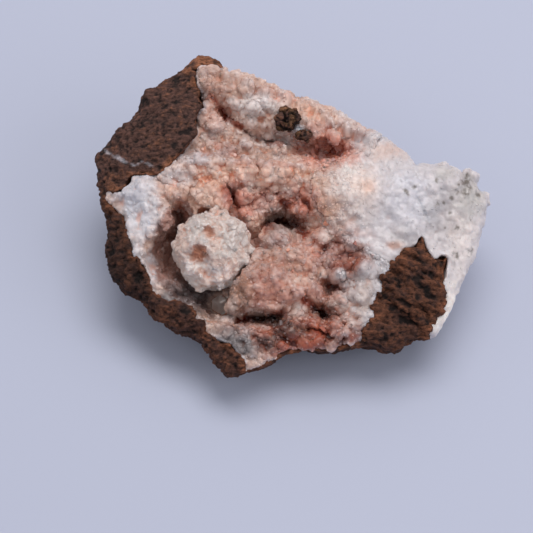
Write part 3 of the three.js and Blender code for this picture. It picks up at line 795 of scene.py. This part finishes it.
def crystal_material(name, roughness, translucence, reach, bump_height):
    """Aragonite, coloured by its own tint, with a sugary grain. Light goes in for a reach in mm."""
    material, shader, add, links, place = node_material(name)
    fine = noise_node(add, place, 1.1, 5, 0.7)
    colour_by_tint(shader, add, links, fine, (0.3, 0.7), (0.86, 1.1))
    grain = add("TexVoronoi", {"Vector": place, "Scale": 1 / (0.7 * MM)}, feature="F1")
    height = {"Distance": bump_height * MM}
    bump = add("Bump", {"Height": grain.outputs["Distance"], "Strength": 0.5, **height})
    bump = add("Bump", {"Height": fine, "Normal": bump.outputs[0], "Strength": 0.4, **height})
    links.new(bump.outputs[0], shader.inputs["Normal"])
    set_inputs(
        shader,
        Roughness=roughness,
        IOR=1.6,
        Specular_IOR_Level=0.45,
        Subsurface_Weight=translucence,
        Subsurface_Radius=(1.0, 0.88, 0.8),
        Subsurface_Scale=reach * MM,
    )
    return material


def limonite_material():
    """Earthy brown iron ore, coloured by its own tint, with dark and pale grains."""
    material, shader, add, links, place = node_material("limonite")
    streaks = add("VectorMath", {0: place, 1: (0.5, 1, 1)}, operation="MULTIPLY").outputs[0]
    grain = noise_node(add, streaks, 0.65, 5, 0.75)
    colour_by_tint(shader, add, links, grain, (0.34, 0.68), (0.15, 2.0))
    bump = add("Bump", {"Height": grain, "Strength": 0.8, "Distance": 0.5 * MM})
    links.new(bump.outputs[0], shader.inputs["Normal"])
    set_inputs(shader, Roughness=0.75, Specular_IOR_Level=0.2)
    return material


# ---------------------------------------------------------------- settings


class RockSettings(bpy.types.PropertyGroup):
    step: FloatProperty(
        name="Step", description="Mesh step of the rock",
        default=0.36 * MM, unit="LENGTH", subtype="DISTANCE",
    )
    rough: FloatProperty(
        name="Roughness", description="Height of the rock's ridges",
        default=0.9 * MM, unit="LENGTH", subtype="DISTANCE",
    )
    rock_colour: FloatVectorProperty(
        name="Rock", description="Colour of the limonite",
        default=(0.076, 0.0365, 0.029), subtype="COLOR",
    )
    pit_colour: FloatVectorProperty(
        name="Pits", description="Colour in the rock's pits",
        default=(0.018, 0.011, 0.010), subtype="COLOR",
    )
    rust_colour: FloatVectorProperty(
        name="Rust", description="Colour of the rusty ridges",
        default=(0.18, 0.072, 0.038), subtype="COLOR",
    )


class CrystalSettings(bpy.types.PropertyGroup):
    step: FloatProperty(
        name="Step", description="Mesh step of the lining and the vein",
        default=0.284 * MM, unit="LENGTH", subtype="DISTANCE",
    )
    least: FloatProperty(
        name="Least", description="Width of the smallest loose crystals",
        default=0.38 * MM, unit="LENGTH", subtype="DISTANCE",
    )
    greatest: FloatProperty(
        name="Greatest", description="Width of the largest loose crystals",
        default=0.85 * MM, unit="LENGTH", subtype="DISTANCE",
    )
    count: IntProperty(name="Count", description="Loose crystals on the lining", default=8000)


class StageSettings(bpy.types.PropertyGroup):
    distance: FloatProperty(
        name="Distance", description="From the camera to the face",
        default=0.5, unit="LENGTH", subtype="DISTANCE",
    )
    elevation: FloatProperty(
        name="Elevation", description="The camera's height angle",
        default=radians(60), unit="ROTATION", subtype="ANGLE",
    )
    key_power: FloatProperty(
        name="Key light", description="Power of the key light", default=5.3, unit="POWER",
    )
    sky_power: FloatProperty(name="Sky", description="Strength of the even light", default=0.52)
    floor_colour: FloatVectorProperty(
        name="Floor", description="Colour of the floor", default=(0.42, 0.445, 0.565), subtype="COLOR",
    )


class SpecimenSettings(bpy.types.PropertyGroup):
    rock: PointerProperty(type=RockSettings)
    crystal: PointerProperty(type=CrystalSettings)
    stage: PointerProperty(type=StageSettings)


# ---------------------------------------------------------------- limonite

# A thin white vein in the upper left of the limonite, [across, up], and its half width.
CRACK = [(-45.5, 17), (-43.5, 15), (-39, 12.4), (-36.4, 11.4), (-34.8, 12.4), (-32, 11)]
CRACK_WIDTH = 0.5
# Where the limonite is broken into blades: [across, up], half sizes and the blades' direction.
BROKEN_AT = (26, -18)
BROKEN_SIZE = (11, 12)
BLADE_LEAN = radians(-28)
# The lower left rim, where the limonite is craggy, [across, up].
CRAGGY_RIM = [(-44, 4), (-42, -12), (-33, -20), (-22, -30), (-13, -35)]
# The top of the rim, stained with rust, [across, up].
RUSTY_RIM = [(-24, 36), (-19, 37), (-15, 35), (-12, 33.6)]
RUST_REACH = (1.2, 1.9)  # millimetres from the aragonite that are rusty: on the left, on the right
DRAWN_BACK = (0, -1.6, -0.9)  # [across, up, out] by which the rock is drawn back under that edge
PLAIN_RELIEF = 0.45  # the relief of rock that is neither raised nor sunk
SHADE_LOSS = (0.26, 0.32, 0.34)  # what red, green and blue lose low on the front
CRUMB_STEP = 0.12 * MM


def broken_at(face):
    """How broken the limonite is at points of the face, from 0 to 1."""
    return np.clip(1.5 - distance_to(face, BROKEN_AT, BROKEN_SIZE), 0, 1)


def roughen_rock(mesh, height):
    """Flakes, pits and grit on the rock, and blades where it is broken. Gives the relief, 0 to 1."""
    face = to_face(coordinates(mesh))
    broken = broken_at(face) * (face[:, 2] > -12)
    craggy = smooth_step(-distance_to_line(face, CRAGGY_RIM), -7, -3)
    along = face @ np.array(Matrix.Rotation(-BLADE_LEAN, 3, "Z")).T
    lumps = noise_at(face, 6, 4)
    steps = ridges_at(bent(face * (0.6, 1, 0.8), 5, 0.4), 4.2, 4, 1.7) - 0.5
    flakes = ridges_at(bent(face * (0.4, 1, 0.8), 3, 0.3), 1.3, 4, 3.1) - 0.5
    split = ridges_at(bent(along * (0.3, 1, 0.8), 3, 0.35), 1.5, 4, 5.2) - 0.5
    flakes += np.minimum(broken, 1) * (split - flakes)
    pits = smooth_step(noise_at(face, 1.5, 2, 9.7), 0.25, 0.6)
    grit = noise_at(face, 0.7, 2, 5.3)
    blades = ridges_at(bent(along * (0.45, 1, 0.8), 4, 0.4), 3.6, 3, 7.7) - 0.4
    crags = ridges_at(bent(face, 4, 0.5), 3.2, 4, 6.3) - 0.45
    under = smooth_step(-distance_to_line(face, UPPER_EDGE), -5, -2.5)
    free = 1 - 0.7 * under
    coarse = height * free * (0.9 * lumps + 0.6 * steps)
    swell(mesh, coarse + 3.0 * broken * blades + 1.5 * craggy * crags)
    fine = 0.6 * flakes * (1 + 1.5 * broken + 0.5 * craggy) + 0.3 * grit - 0.4 * pits
    swell(mesh, height * fine * free + 0.12)
    shift(mesh, DRAWN_BACK, under)
    relief = 0.5 + 1.3 * fine + 0.3 * steps + 0.8 * (broken * blades + craggy * crags)
    return np.clip(PLAIN_RELIEF + (relief - PLAIN_RELIEF) * (1 + 0.9 * broken), 0, 1)


def rock_colours(face, relief, edge, settings):
    """The limonite's colour: dark in its pits, rusty on some ridges and along the aragonite."""
    pit, rock, rust = map(np.array, (settings.pit_colour, settings.rock_colour, settings.rust_colour))
    broken = broken_at(face)
    tone = relief + 0.35 * noise_at(face, 4, 4, 2.2)
    colours = mixed(pit, rock, smooth_step(tone, 0.1, 0.5))
    colours = mixed(colours, rust, (0.6 + 0.1 * broken) * smooth_step(tone, 0.65, 1.1))
    rusty = edge * smooth_step(noise_at(face, 2, 3, 8.1), -0.5, 0.2)
    colours = mixed(colours, 1.3 * rust, 0.9 * rusty)
    front = smooth_step(-face[:, 1], -8, 2)
    left = front * smooth_step(-face[:, 0], 28, 36)
    shade = (1 - 0.14 * broken * front) * (1 - 0.35 * left)
    return dimmed(colours * shade[:, None], SHADE_LOSS, front)


class SPECIMEN_OT_limonite(bpy.types.Operator):
    """Roughens the limonite rock"""

    bl_idname = "specimen.limonite"
    bl_label = "Limonite"

    def execute(self, context):
        settings = context.scene.specimen.rock
        piece = fine_copy(ROCK, "limonite_rock", settings.step)
        mesh = piece.data
        soften(mesh, 1)
        relief = roughen_rock(mesh, settings.rough / MM)
        points = coordinates(mesh)
        face = to_face(points)
        reach = np.where(face[:, 0] > 10, RUST_REACH[1], RUST_REACH[0])
        edge = np.clip(1.6 - distance_to_nodes(points, LINING, VEIN) / reach, 0, 1)
        top = smooth_step(-distance_to_line(face, RUSTY_RIM), -4, -1.5)
        edge = np.maximum(edge * (face[:, 2] > -8), top * (face[:, 2] > FRONT_FROM))
        colours = rock_colours(face, relief, edge, settings)
        away = distance_to_line(face, CRACK) + 0.5 * noise_at(face, 1.5, 3)
        crack = smooth_step(-away, -CRACK_WIDTH, 0) * (face[:, 2] > -6)
        crack *= smooth_step(noise_at(face, 3, 2, 6.6), -0.25, 0.1)
        add_colour(mesh, mixed(colours, COOL_WHITE, 0.35 * crack))
        finish_piece(piece, limonite_material(), "limonite", ROCK)
        return {"FINISHED"}


class SPECIMEN_OT_crumbs(bpy.types.Operator):
    """Roughens the crumbs of limonite on the upper slope"""

    bl_idname = "specimen.crumbs"
    bl_label = "Limonite crumbs"

    def execute(self, context):
        settings = context.scene.specimen.rock
        material = limonite_material()
        for size in ("large", "small"):
            node = f"limonite_crumb_{size}"
            piece = fine_copy(node, f"crumb_{size}", CRUMB_STEP)
            points = coordinates(piece.data) / MM
            relief = noise_at(points, 1.8, 3) + ridges_at(points, 1.3, 3) - 0.6
            swell(piece.data, 0.7 * relief + 0.15)
            pits = smooth_step(noise_at(points, 0.8, 2, 3.7), 0.0, 0.4)
            swell(piece.data, 0.25 - 0.7 * pits)
            edge = 0.8 * smooth_step(noise_at(points, 2.4, 2, 1.3), -0.2, 0.3)
            relief = np.clip(PLAIN_RELIEF + 0.5 * relief - 0.8 * pits, 0, 1)
            colours = rock_colours(points, relief, edge * relief, settings)
            golden = 0.45 * smooth_step(noise_at(points, 1.4, 2, 4.4), -0.1, 0.3) * (1 - pits)
            add_colour(piece.data, mixed(colours, GOLDEN_BROWN, golden))
            finish_piece(piece, material, "limonite", node)
        return {"FINISHED"}


# ---------------------------------------------------------------- crystal lining

# What grows on a piece: lobes or plain unevenness, their size and their height in millimetres.
LINING_LAYERS = (("noise", 5, 0.9), ("lobes", 2.8, 0.2), ("noise", 1.6, 0.6), ("noise", 0.8, 0.3))
RUBBLE_LAYERS = (("lobes", 2.2, 0.7), ("lobes", 1.3, 0.5))
LINING_LARGE = 130  # how many large lumps grow on it, and how many small ones
LINING_SMALL = 2600
# Where the lining is a loose rubble of crystals: [across, up] and half sizes.
RUBBLE = [([1, -27], [16, 5]), ([8, 14.5], [7, 4]), ([-7, 3], [10, 4]), ([11, -10], [5, 6])]
MASSIVE_FROM = (9, 19)  # the crystals get finer between these places across, into massive aragonite
LEFT_FROM = (26, 34)  # and the lining gets smoother between these places to the left
# What red, green and blue lose as painted shade in clefts, between loose crystals and deep in the
# hollow.
CLEFT_SHADE = (0.4, 0.65, 0.7)
GAP_SHADE = (0.4, 0.54, 0.56)
DEEP_SHADE = (0.3, 0.45, 0.5)
SEEN_DEPTH = 12  # millimetres below the rim past which no loose crystals are strewn
COARSE_COUNT = 700
COARSE_SIZES = (0.7, 1.4)
# White frost between the two crumbs of limonite: its place [across, up] and reach in millimetres.
FROST_AT = (1.4, 19.4)
FROST_REACH = 2.3
FROST_COUNT = 90
FROST_SIZES = (0.35, 0.7)


def rubble_at(face):
    """How loose the lining's crystals are at points of the face, from 0 to 1."""
    least = np.full(len(face), 9.0)
    for at, size in RUBBLE:
        least = np.minimum(least, distance_to(face, at, size))
    loose = smooth_step(-least - 0.3 * noise_at(face, 4, 2), -1.2, -0.8)
    return loose * (face[:, 2] > FRONT_FROM)


def large_on_lining(face):
    """How likely a large lump stands at points of the face, from 0 to 1."""
    chance = (0.04 + 0.96 * smooth_step(face[:, 0], -34, -24)) * (face[:, 2] > -9)
    chance *= 0.25 + 0.75 * smooth_step(-face[:, 1], -16, -9)
    return chance * smooth_step(distance_to_line(face, UPPER_EDGE), 2, 5)


def small_on_lining(face):
    """How likely a small lump stands at points of the face, from 0 to 1."""
    chance = (face[:, 2] > -9) * smooth_step(distance_to_line(face, UPPER_EDGE), 0.5, 2)
    return chance * (0.03 + 0.97 * smooth_step(face[:, 0], -34, -26))


def grow_lining(mesh):
    """Grows the lining's relief. Gives how far each point lies in five places, from 0 to 1.

    They are the smooth left end, loose rubble, the seam with the vein, the upper edge and clefts.
    """
    soften(mesh, 1)
    jumble(mesh, *JUMBLE)
    blend(mesh, LINING, VEIN)
    face = to_face(coordinates(mesh))
    left = smooth_step(-face[:, 0], *LEFT_FROM)
    grow(mesh, LINING_LAYERS, 1 - 0.5 * smooth_step(face[:, 0], *MASSIVE_FROM) - 0.35 * left)
    rubble = rubble_at(face)
    grow(mesh, RUBBLE_LAYERS, rubble)
    seam = seam_at(mesh, VEIN)
    upper = smooth_step(-distance_to_line(face, UPPER_EDGE), -3.5, -2.5)
    soften(mesh, 1)
    swell(mesh, 0.2 + 0.45 * seam)
    shift(mesh, UPPER_OVERHANG, upper)
    return left, rubble, seam, upper, carve(mesh, face)


def below_rim(face):
    """How deep points of the face lie in the hollow, in millimetres."""
    return RIM_OUT - RIM_SLOPE * face[:, 1] - face[:, 2]


def lining_colours(points, fine, wide, gap_shade, cut, upper):
    """The lining's colour: stained, with painted shade in its clefts, its gaps and deep in the hollow,
    and frosted along its rim.
    """
    face = to_face(points)
    depth = below_rim(face)
    # Painted shade in the clefts, between the loose crystals and deep in the hollow.
    colours = dimmed(weathered_and_shaded(stained_lit_and_shaded(face), fine, wide, face), CLEFT_SHADE, cut)
    colours = dimmed(colours, GAP_SHADE, gap_shade)
    colours = dimmed(colours, DEEP_SHADE, smooth_step(depth, 9, 15))
    pocket = mixed(np.array(POCKET_COLOUR), POCKET_FLOOR, smooth_step(-face[:, 1], 12, 18))
    colours = mixed(colours, pocket, 0.9 * pocket_at(face))
    foot = smooth_step(-distance_to(face, CRYSTAL_FOOT), -3.4, -1.8)
    colours = mixed(colours, CREAM, 0.8 * foot)
    rim = np.clip(1.4 - distance_to_nodes(points, ROCK) / 0.7, 0, 1)
    return mixed(colours, COOL_WHITE, 0.6 * rim * (smooth_step(-depth, -6, -1) * (1 - upper)))


class SPECIMEN_OT_lining(bpy.types.Operator):
    """Grows the crystal lining of the hollow and the crystals on it"""

    bl_idname = "specimen.lining"
    bl_label = "Crystal lining"

    def execute(self, context):
        settings = context.scene.specimen.crystal
        lumps = random_lumps(LINING, LINING_LARGE, LARGE, large_on_lining, 30)
        lumps += random_lumps(LINING, LINING_SMALL, SMALL, small_on_lining, 33)
        piece = fine_copy(LINING, "crystal_lining", settings.step, lumps)
        mesh = piece.data
        left, rubble, seam, upper, cut = grow_lining(mesh)
        points = coordinates(mesh)
        fine, wide = hollowness(mesh, NEAR), hollowness(mesh, AROUND)
        # Painted shade in the gaps between loose crystals.
        gap_shade = rubble * smooth_step(fine, 0.05, 0.45)
        colours = lining_colours(points, fine, wide, gap_shade, cut, upper)
        add_colour(mesh, colours)
        finish_piece(piece, crystal_material("sugary aragonite", **CRUST), "pink_aragonite", LINING)

        sugar = crystal_material("sugar crystals", **GRAINS)
        face = to_face(points)
        seen = (facing_others(mesh, LINING) == 0) * (below_rim(face) < SEEN_DEPTH)
        weights = seen * (1 + 2 * seam - 0.5 * left) * smooth_step(-fine, -0.2, 0.1)
        add_grains(
            "lining_sugar", mesh, weights, settings.count,
            (settings.least / MM, settings.greatest / MM), 0.35, 20, sugar, "pink_aragonite",
        )
        red = smooth_step(1 - colours[:, 1] / colours[:, 0], 0.48, 0.62) * (1 - upper)
        coarse = seen * smooth_step(wide, -0.4, 0.8) * (0.12 + red) * (upper == 0)
        add_grains(
            "lining_crystals", mesh, coarse, COARSE_COUNT, COARSE_SIZES, 0.15, 21, sugar,
            "pink_aragonite", pale=0.45,
        )
        frosted = seen * (distance_to(face, FROST_AT) < FROST_REACH)
        add_grains(
            "frost", mesh, frosted, FROST_COUNT, FROST_SIZES, -0.15, 24, sugar, "white_aragonite",
            pale=1.0,
        )
        return {"FINISHED"}


# ---------------------------------------------------------------- white vein

VEIN_LAYERS = (("noise", 7, 0.9), ("lobes", 2.8, 0.35), ("noise", 1.5, 0.45), ("noise", 0.8, 0.2))
VEIN_LARGE = 30
VEIN_SMALL = 400
# Knobs along the outer edge of the white end: [across, up, out] and half width.
EDGE_KNOBS = [
    ([34.8, 8.8, -4.8], 2.8), ([40.4, 6.8, -4.8], 3.2), ([42.8, 3.4, -5], 2.6),
    ([40, -5.6, -4.8], 2.6), ([38, -11.6, -4.8], 3.0), ([36, -18, -5.2], 2.6),
]
VEIN_HOLLOWS = 0.4  # how strongly its hollows are stained and given painted shade, and its bumps painted light
# What red, green and blue lose as painted shade in its clefts.
VEIN_CLEFT_SHADE = (0.5, 0.72, 0.75)


def sugary_at(face):
    """How sugary the vein is at points of the face: 1 at its left end, 0 where it is massive."""
    return 1 - smooth_step(face[:, 0], *MASSIVE_FROM)


class SPECIMEN_OT_white_vein(bpy.types.Operator):
    """Grains the white vein"""

    bl_idname = "specimen.white_vein"
    bl_label = "White vein"

    def execute(self, context):
        settings = context.scene.specimen.crystal
        lumps = random_lumps(VEIN, VEIN_LARGE, LARGE, sugary_at, 31)
        lumps += random_lumps(VEIN, VEIN_SMALL, SMALL, sugary_at, 34)
        lumps += [(FROM_FACE @ (Vector(at) * MM), size * MM) for at, size in EDGE_KNOBS]
        piece = fine_copy(VEIN, "white_vein", settings.step, lumps)
        mesh = piece.data
        soften(mesh, 6)
        jumble(mesh, *JUMBLE)
        blend(mesh, VEIN, LINING)
        massive = smooth_step(to_face(coordinates(mesh))[:, 0], *MASSIVE_FROM)
        grow(mesh, VEIN_LAYERS, 1 - 0.6 * massive)
        seam = seam_at(mesh, LINING)
        soften(mesh, 1)
        swell(mesh, 0.15 + 0.6 * seam)
        cut = carve(mesh, to_face(coordinates(mesh)))
        face = to_face(coordinates(mesh))
        fine, wide = VEIN_HOLLOWS * hollowness(mesh, NEAR), VEIN_HOLLOWS * hollowness(mesh, AROUND)
        # Stains with painted light and shade, and painted shade in the clefts.
        colours = dimmed(weathered_and_shaded(stained_lit_and_shaded(face), fine, wide, face), VEIN_CLEFT_SHADE, cut)
        add_colour(mesh, spotted(colours, face))
        finish_piece(piece, crystal_material("massive aragonite", **CRUST), "white_aragonite", VEIN)
        seen = facing_others(mesh, VEIN) == 0
        add_grains(
            "vein_sugar", mesh, seen * (1.1 - massive + 2 * seam), settings.count // 3,
            (settings.least / MM, settings.greatest / MM), 0.36, 22,
            crystal_material("vein crystals", **GRAINS), "white_aragonite",
        )
        return {"FINISHED"}


# ---------------------------------------------------------------- crystal ball

BALL_LAYERS = (("noise", 5, 0.8), ("noise", 1.8, 0.4), ("noise", 0.8, 0.15))
BALL_STEP = 0.18 * MM
BALL_LUMPS = 70
BALL_SMALL = 130
BALL_NEAR, BALL_AROUND = 30, 200  # as NEAR and AROUND, for the ball's finer mesh
BALL_CREAM = (0.60, 0.45, 0.395)
BALL_WHITE = (0.57, 0.495, 0.465)
OCHRE = (0.40, 0.155, 0.085)
# Pits in the front of the ball: [across, up], half width and how strongly they are stained.
PITS = [([-21.4, -8.8], 1.9, 1.0), ([-19.2, -3.8], 1.0, 0.8), ([-20.7, -12.9], 1.0, 0.45)]


def pits_at(face):
    """How far points of the face lie in the ball's pits, from 0 to 1."""
    pits = np.zeros(len(face))
    for at, width, strength in PITS:
        away = distance_to(face, at) + 0.7 * noise_at(face, 1.5, 2)
        pits = np.maximum(pits, strength * smooth_step(-away, -1.6 * width, -0.5 * width))
    return pits * (face[:, 2] > -2)


class SPECIMEN_OT_crystal_ball(bpy.types.Operator):
    """Grows the cauliflower ball of crystals"""

    bl_idname = "specimen.crystal_ball"
    bl_label = "Crystal ball"

    def execute(self, context):
        settings = context.scene.specimen.crystal
        lumps = random_lumps(BALL, BALL_LUMPS, BALL_LARGE, lambda face: face[:, 2] > -6, 32)
        lumps += random_lumps(BALL, BALL_SMALL, SMALL, lambda face: face[:, 2] > -8, 35)
        piece = fine_copy(BALL, "cauliflower_ball", BALL_STEP, lumps)
        mesh = piece.data
        soften(mesh, 18)
        grow(mesh, BALL_LAYERS)
        face = to_face(coordinates(mesh))
        pits = pits_at(face)
        swell(mesh, -0.3 * pits)
        points = coordinates(mesh) / MM
        fine, wide = hollowness(mesh, BALL_NEAR), 0.3 * hollowness(mesh, BALL_AROUND)
        white = smooth_step(noise_at(points, 5, 3), -0.3, 0.3)
        colours = weathered_and_shaded(mixed(np.array(BALL_CREAM), BALL_WHITE, white), fine, wide, points)
        colours = mixed(colours, OCHRE, pits)
        # Painted light: the ball's lower side is made lighter, standing for light that shines through
        # it.
        lower = smooth_step(-face[:, 1], 8, 16)
        add_colour(mesh, colours * (1 + 0.35 * lower)[:, None])
        material = crystal_material("ball aragonite", **BALL_CRUST)
        finish_piece(piece, material, "cream_aragonite", BALL)
        add_grains(
            "ball_sugar", mesh, np.ones(len(face)), settings.count // 14,
            (settings.least / MM, settings.greatest / MM), 0.4, 23,
            crystal_material("ball crystals", **GRAINS), "cream_aragonite",
        )
        return {"FINISHED"}


# ---------------------------------------------------------------- clear crystal

BEVEL = 0.35 * MM
SHARP = radians(20)  # edges that turn more than this are bevelled


class SPECIMEN_OT_clear_crystal(bpy.types.Operator):
    """Makes the clear crystal in front of the ball"""

    bl_idname = "specimen.clear_crystal"
    bl_label = "Clear crystal"

    def execute(self, context):
        mesh = merged_copy(CLEAR)
        shape = bmesh.new()
        shape.from_mesh(mesh)
        sharp = [edge for edge in shape.edges if edge.calc_face_angle(0) > SHARP]
        bmesh.ops.bevel(
            shape, geom=sharp, offset=BEVEL, offset_type="OFFSET", affect="EDGES", segments=2,
            profile=0.5, material=-1,
        )
        shape.to_mesh(mesh)
        shape.free()
        piece = new_piece("glassy_crystal", mesh)
        material, shader, add, links, place = node_material("clear aragonite")
        frost = noise_node(add, place, 1.5)
        bump = add("Bump", {"Height": frost, "Strength": 0.3, "Distance": 0.2 * MM})
        links.new(bump.outputs[0], shader.inputs["Normal"])
        set_inputs(
            shader, Base_Color=(0.97, 0.94, 0.92, 1), Roughness=0.3, IOR=1.55,
            Transmission_Weight=1.0,
        )
        clouding = add("VolumeAbsorption", {"Color": (0.75, 0.66, 0.6, 1), "Density": 25.0})
        output = material.node_tree.nodes["Material Output"]
        links.new(clouding.outputs[0], output.inputs["Volume"])
        finish_piece(piece, material, "clear_aragonite", CLEAR, smooth=False)
        return {"FINISHED"}


# ---------------------------------------------------------------- stage

FLOOR_RADIUS = 4.0  # metres
SKY_COLOUR = (0.95, 0.96, 1.0, 1)
# The lamps: shape, size in metres, share of the key light's power, colour and place.
LAMPS = {
    "key": ("ELLIPSE", (0.9, 0.5), 1.0, (1.0, 0.98, 0.96), (0.12, 0.26, 0.86)),
    "fill": ("DISK", (0.7, 0.7), 0.32, (1.0, 1.0, 1.0), (0.74, -0.24, 0.42)),
    "side": ("DISK", (0.7, 0.7), 0.16, (1.0, 1.0, 1.0), (-0.75, 0.05, 0.36)),
}
LIT_AT = Vector((0, 0, 0.02))  # where the lamps point
IMAGE_SIDE = 533  # the rendered image's side, in pixels
FACE_PIXEL = 0.23  # millimetres of the face in one of these pixels
FACE_AT = (293, 215)  # the pixel where the face's zero point lies, from the left and from the top


def aim(thing, target):
    """Turns a lamp or the camera towards a place."""
    thing.rotation_euler = (target - thing.location).to_track_quat("-Z", "Y").to_euler()


def add_floor(colour):
    shape = bmesh.new()
    bmesh.ops.create_circle(shape, cap_ends=True, segments=64, radius=FLOOR_RADIUS)
    mesh = bpy.data.meshes.new("floor")
    shape.to_mesh(mesh)
    shape.free()
    material, shader, *_ = node_material("floor")
    set_inputs(shader, Base_Color=(*colour, 1), Roughness=0.6)
    mesh.materials.append(material)
    new_piece("floor", mesh)


def add_sky(strength):
    world = bpy.data.worlds.new("studio")
    world.use_nodes = True
    sky = world.node_tree.nodes["Background"]
    sky.inputs["Color"].default_value = SKY_COLOUR
    sky.inputs["Strength"].default_value = strength
    bpy.context.scene.world = world


def add_lamp(name, shape, size, power, colour, place):
    data = bpy.data.lights.new(name, "AREA")
    data.shape = shape
    data.size, data.size_y = size
    data.energy = power
    data.color = colour
    lamp = bpy.data.objects.new(name, data)
    lamp.location = place
    bpy.context.scene.collection.objects.link(lamp)
    aim(lamp, LIT_AT)


def add_camera(distance, elevation):
    """A camera that looks at the face from a distance, at an angle to the floor."""
    data = bpy.data.cameras.new("camera")
    data.lens = data.sensor_width * distance / (IMAGE_SIDE * FACE_PIXEL * MM)
    data.clip_start = 0.01
    camera = bpy.data.objects.new("camera", data)
    across = (IMAGE_SIDE / 2 - FACE_AT[0]) * FACE_PIXEL * MM
    up = (FACE_AT[1] - IMAGE_SIDE / 2) * FACE_PIXEL * MM
    target = FROM_FACE @ Vector((across, up, 0))
    camera.location = target + Vector((0, -cos(elevation), sin(elevation))) * distance
    aim(camera, target)
    bpy.context.scene.collection.objects.link(camera)
    bpy.context.scene.camera = camera


class SPECIMEN_OT_stage(bpy.types.Operator):
    """Sets the floor, the light and the camera"""

    bl_idname = "specimen.stage"
    bl_label = "Stage"

    def execute(self, context):
        settings = context.scene.specimen.stage
        context.scene.view_settings.view_transform = "Standard"
        add_floor(settings.floor_colour)
        add_sky(settings.sky_power)
        for name, (shape, size, share, colour, place) in LAMPS.items():
            add_lamp(name, shape, size, share * settings.key_power, colour, place)
        add_camera(settings.distance, settings.elevation)
        return {"FINISHED"}


# ---------------------------------------------------------------- add-on


class SPECIMEN_PT_sidebar(bpy.types.Panel):
    """Lists the specimen's settings and the operators that make its pieces"""

    bl_idname = "SPECIMEN_PT_sidebar"
    bl_label = "Aragonite specimen"
    bl_space_type = "VIEW_3D"
    bl_region_type = "UI"
    bl_category = "Specimen"

    def draw(self, context):
        settings = context.scene.specimen
        for group in (settings.rock, settings.crystal, settings.stage):
            box = self.layout.box()
            for name in group.__annotations__:
                box.prop(group, name)
        for operator in OPERATORS:
            self.layout.operator(operator.bl_idname)


OPERATORS = (
    SPECIMEN_OT_stage,
    SPECIMEN_OT_limonite,
    SPECIMEN_OT_crumbs,
    SPECIMEN_OT_lining,
    SPECIMEN_OT_white_vein,
    SPECIMEN_OT_crystal_ball,
    SPECIMEN_OT_clear_crystal,
)
CLASSES = (
    RockSettings, CrystalSettings, StageSettings, SpecimenSettings, *OPERATORS, SPECIMEN_PT_sidebar,
)


def register():
    for each in CLASSES:
        bpy.utils.register_class(each)
    bpy.types.Scene.specimen = PointerProperty(type=SpecimenSettings)


def unregister():
    del bpy.types.Scene.specimen
    for each in reversed(CLASSES):
        bpy.utils.unregister_class(each)


def main():
    register()
    bpy.ops.specimen.stage()
    bpy.ops.specimen.limonite()
    bpy.ops.specimen.crumbs()
    bpy.ops.specimen.lining()
    bpy.ops.specimen.white_vein()
    bpy.ops.specimen.crystal_ball()
    bpy.ops.specimen.clear_crystal()


if __name__ == "__main__":
    main()
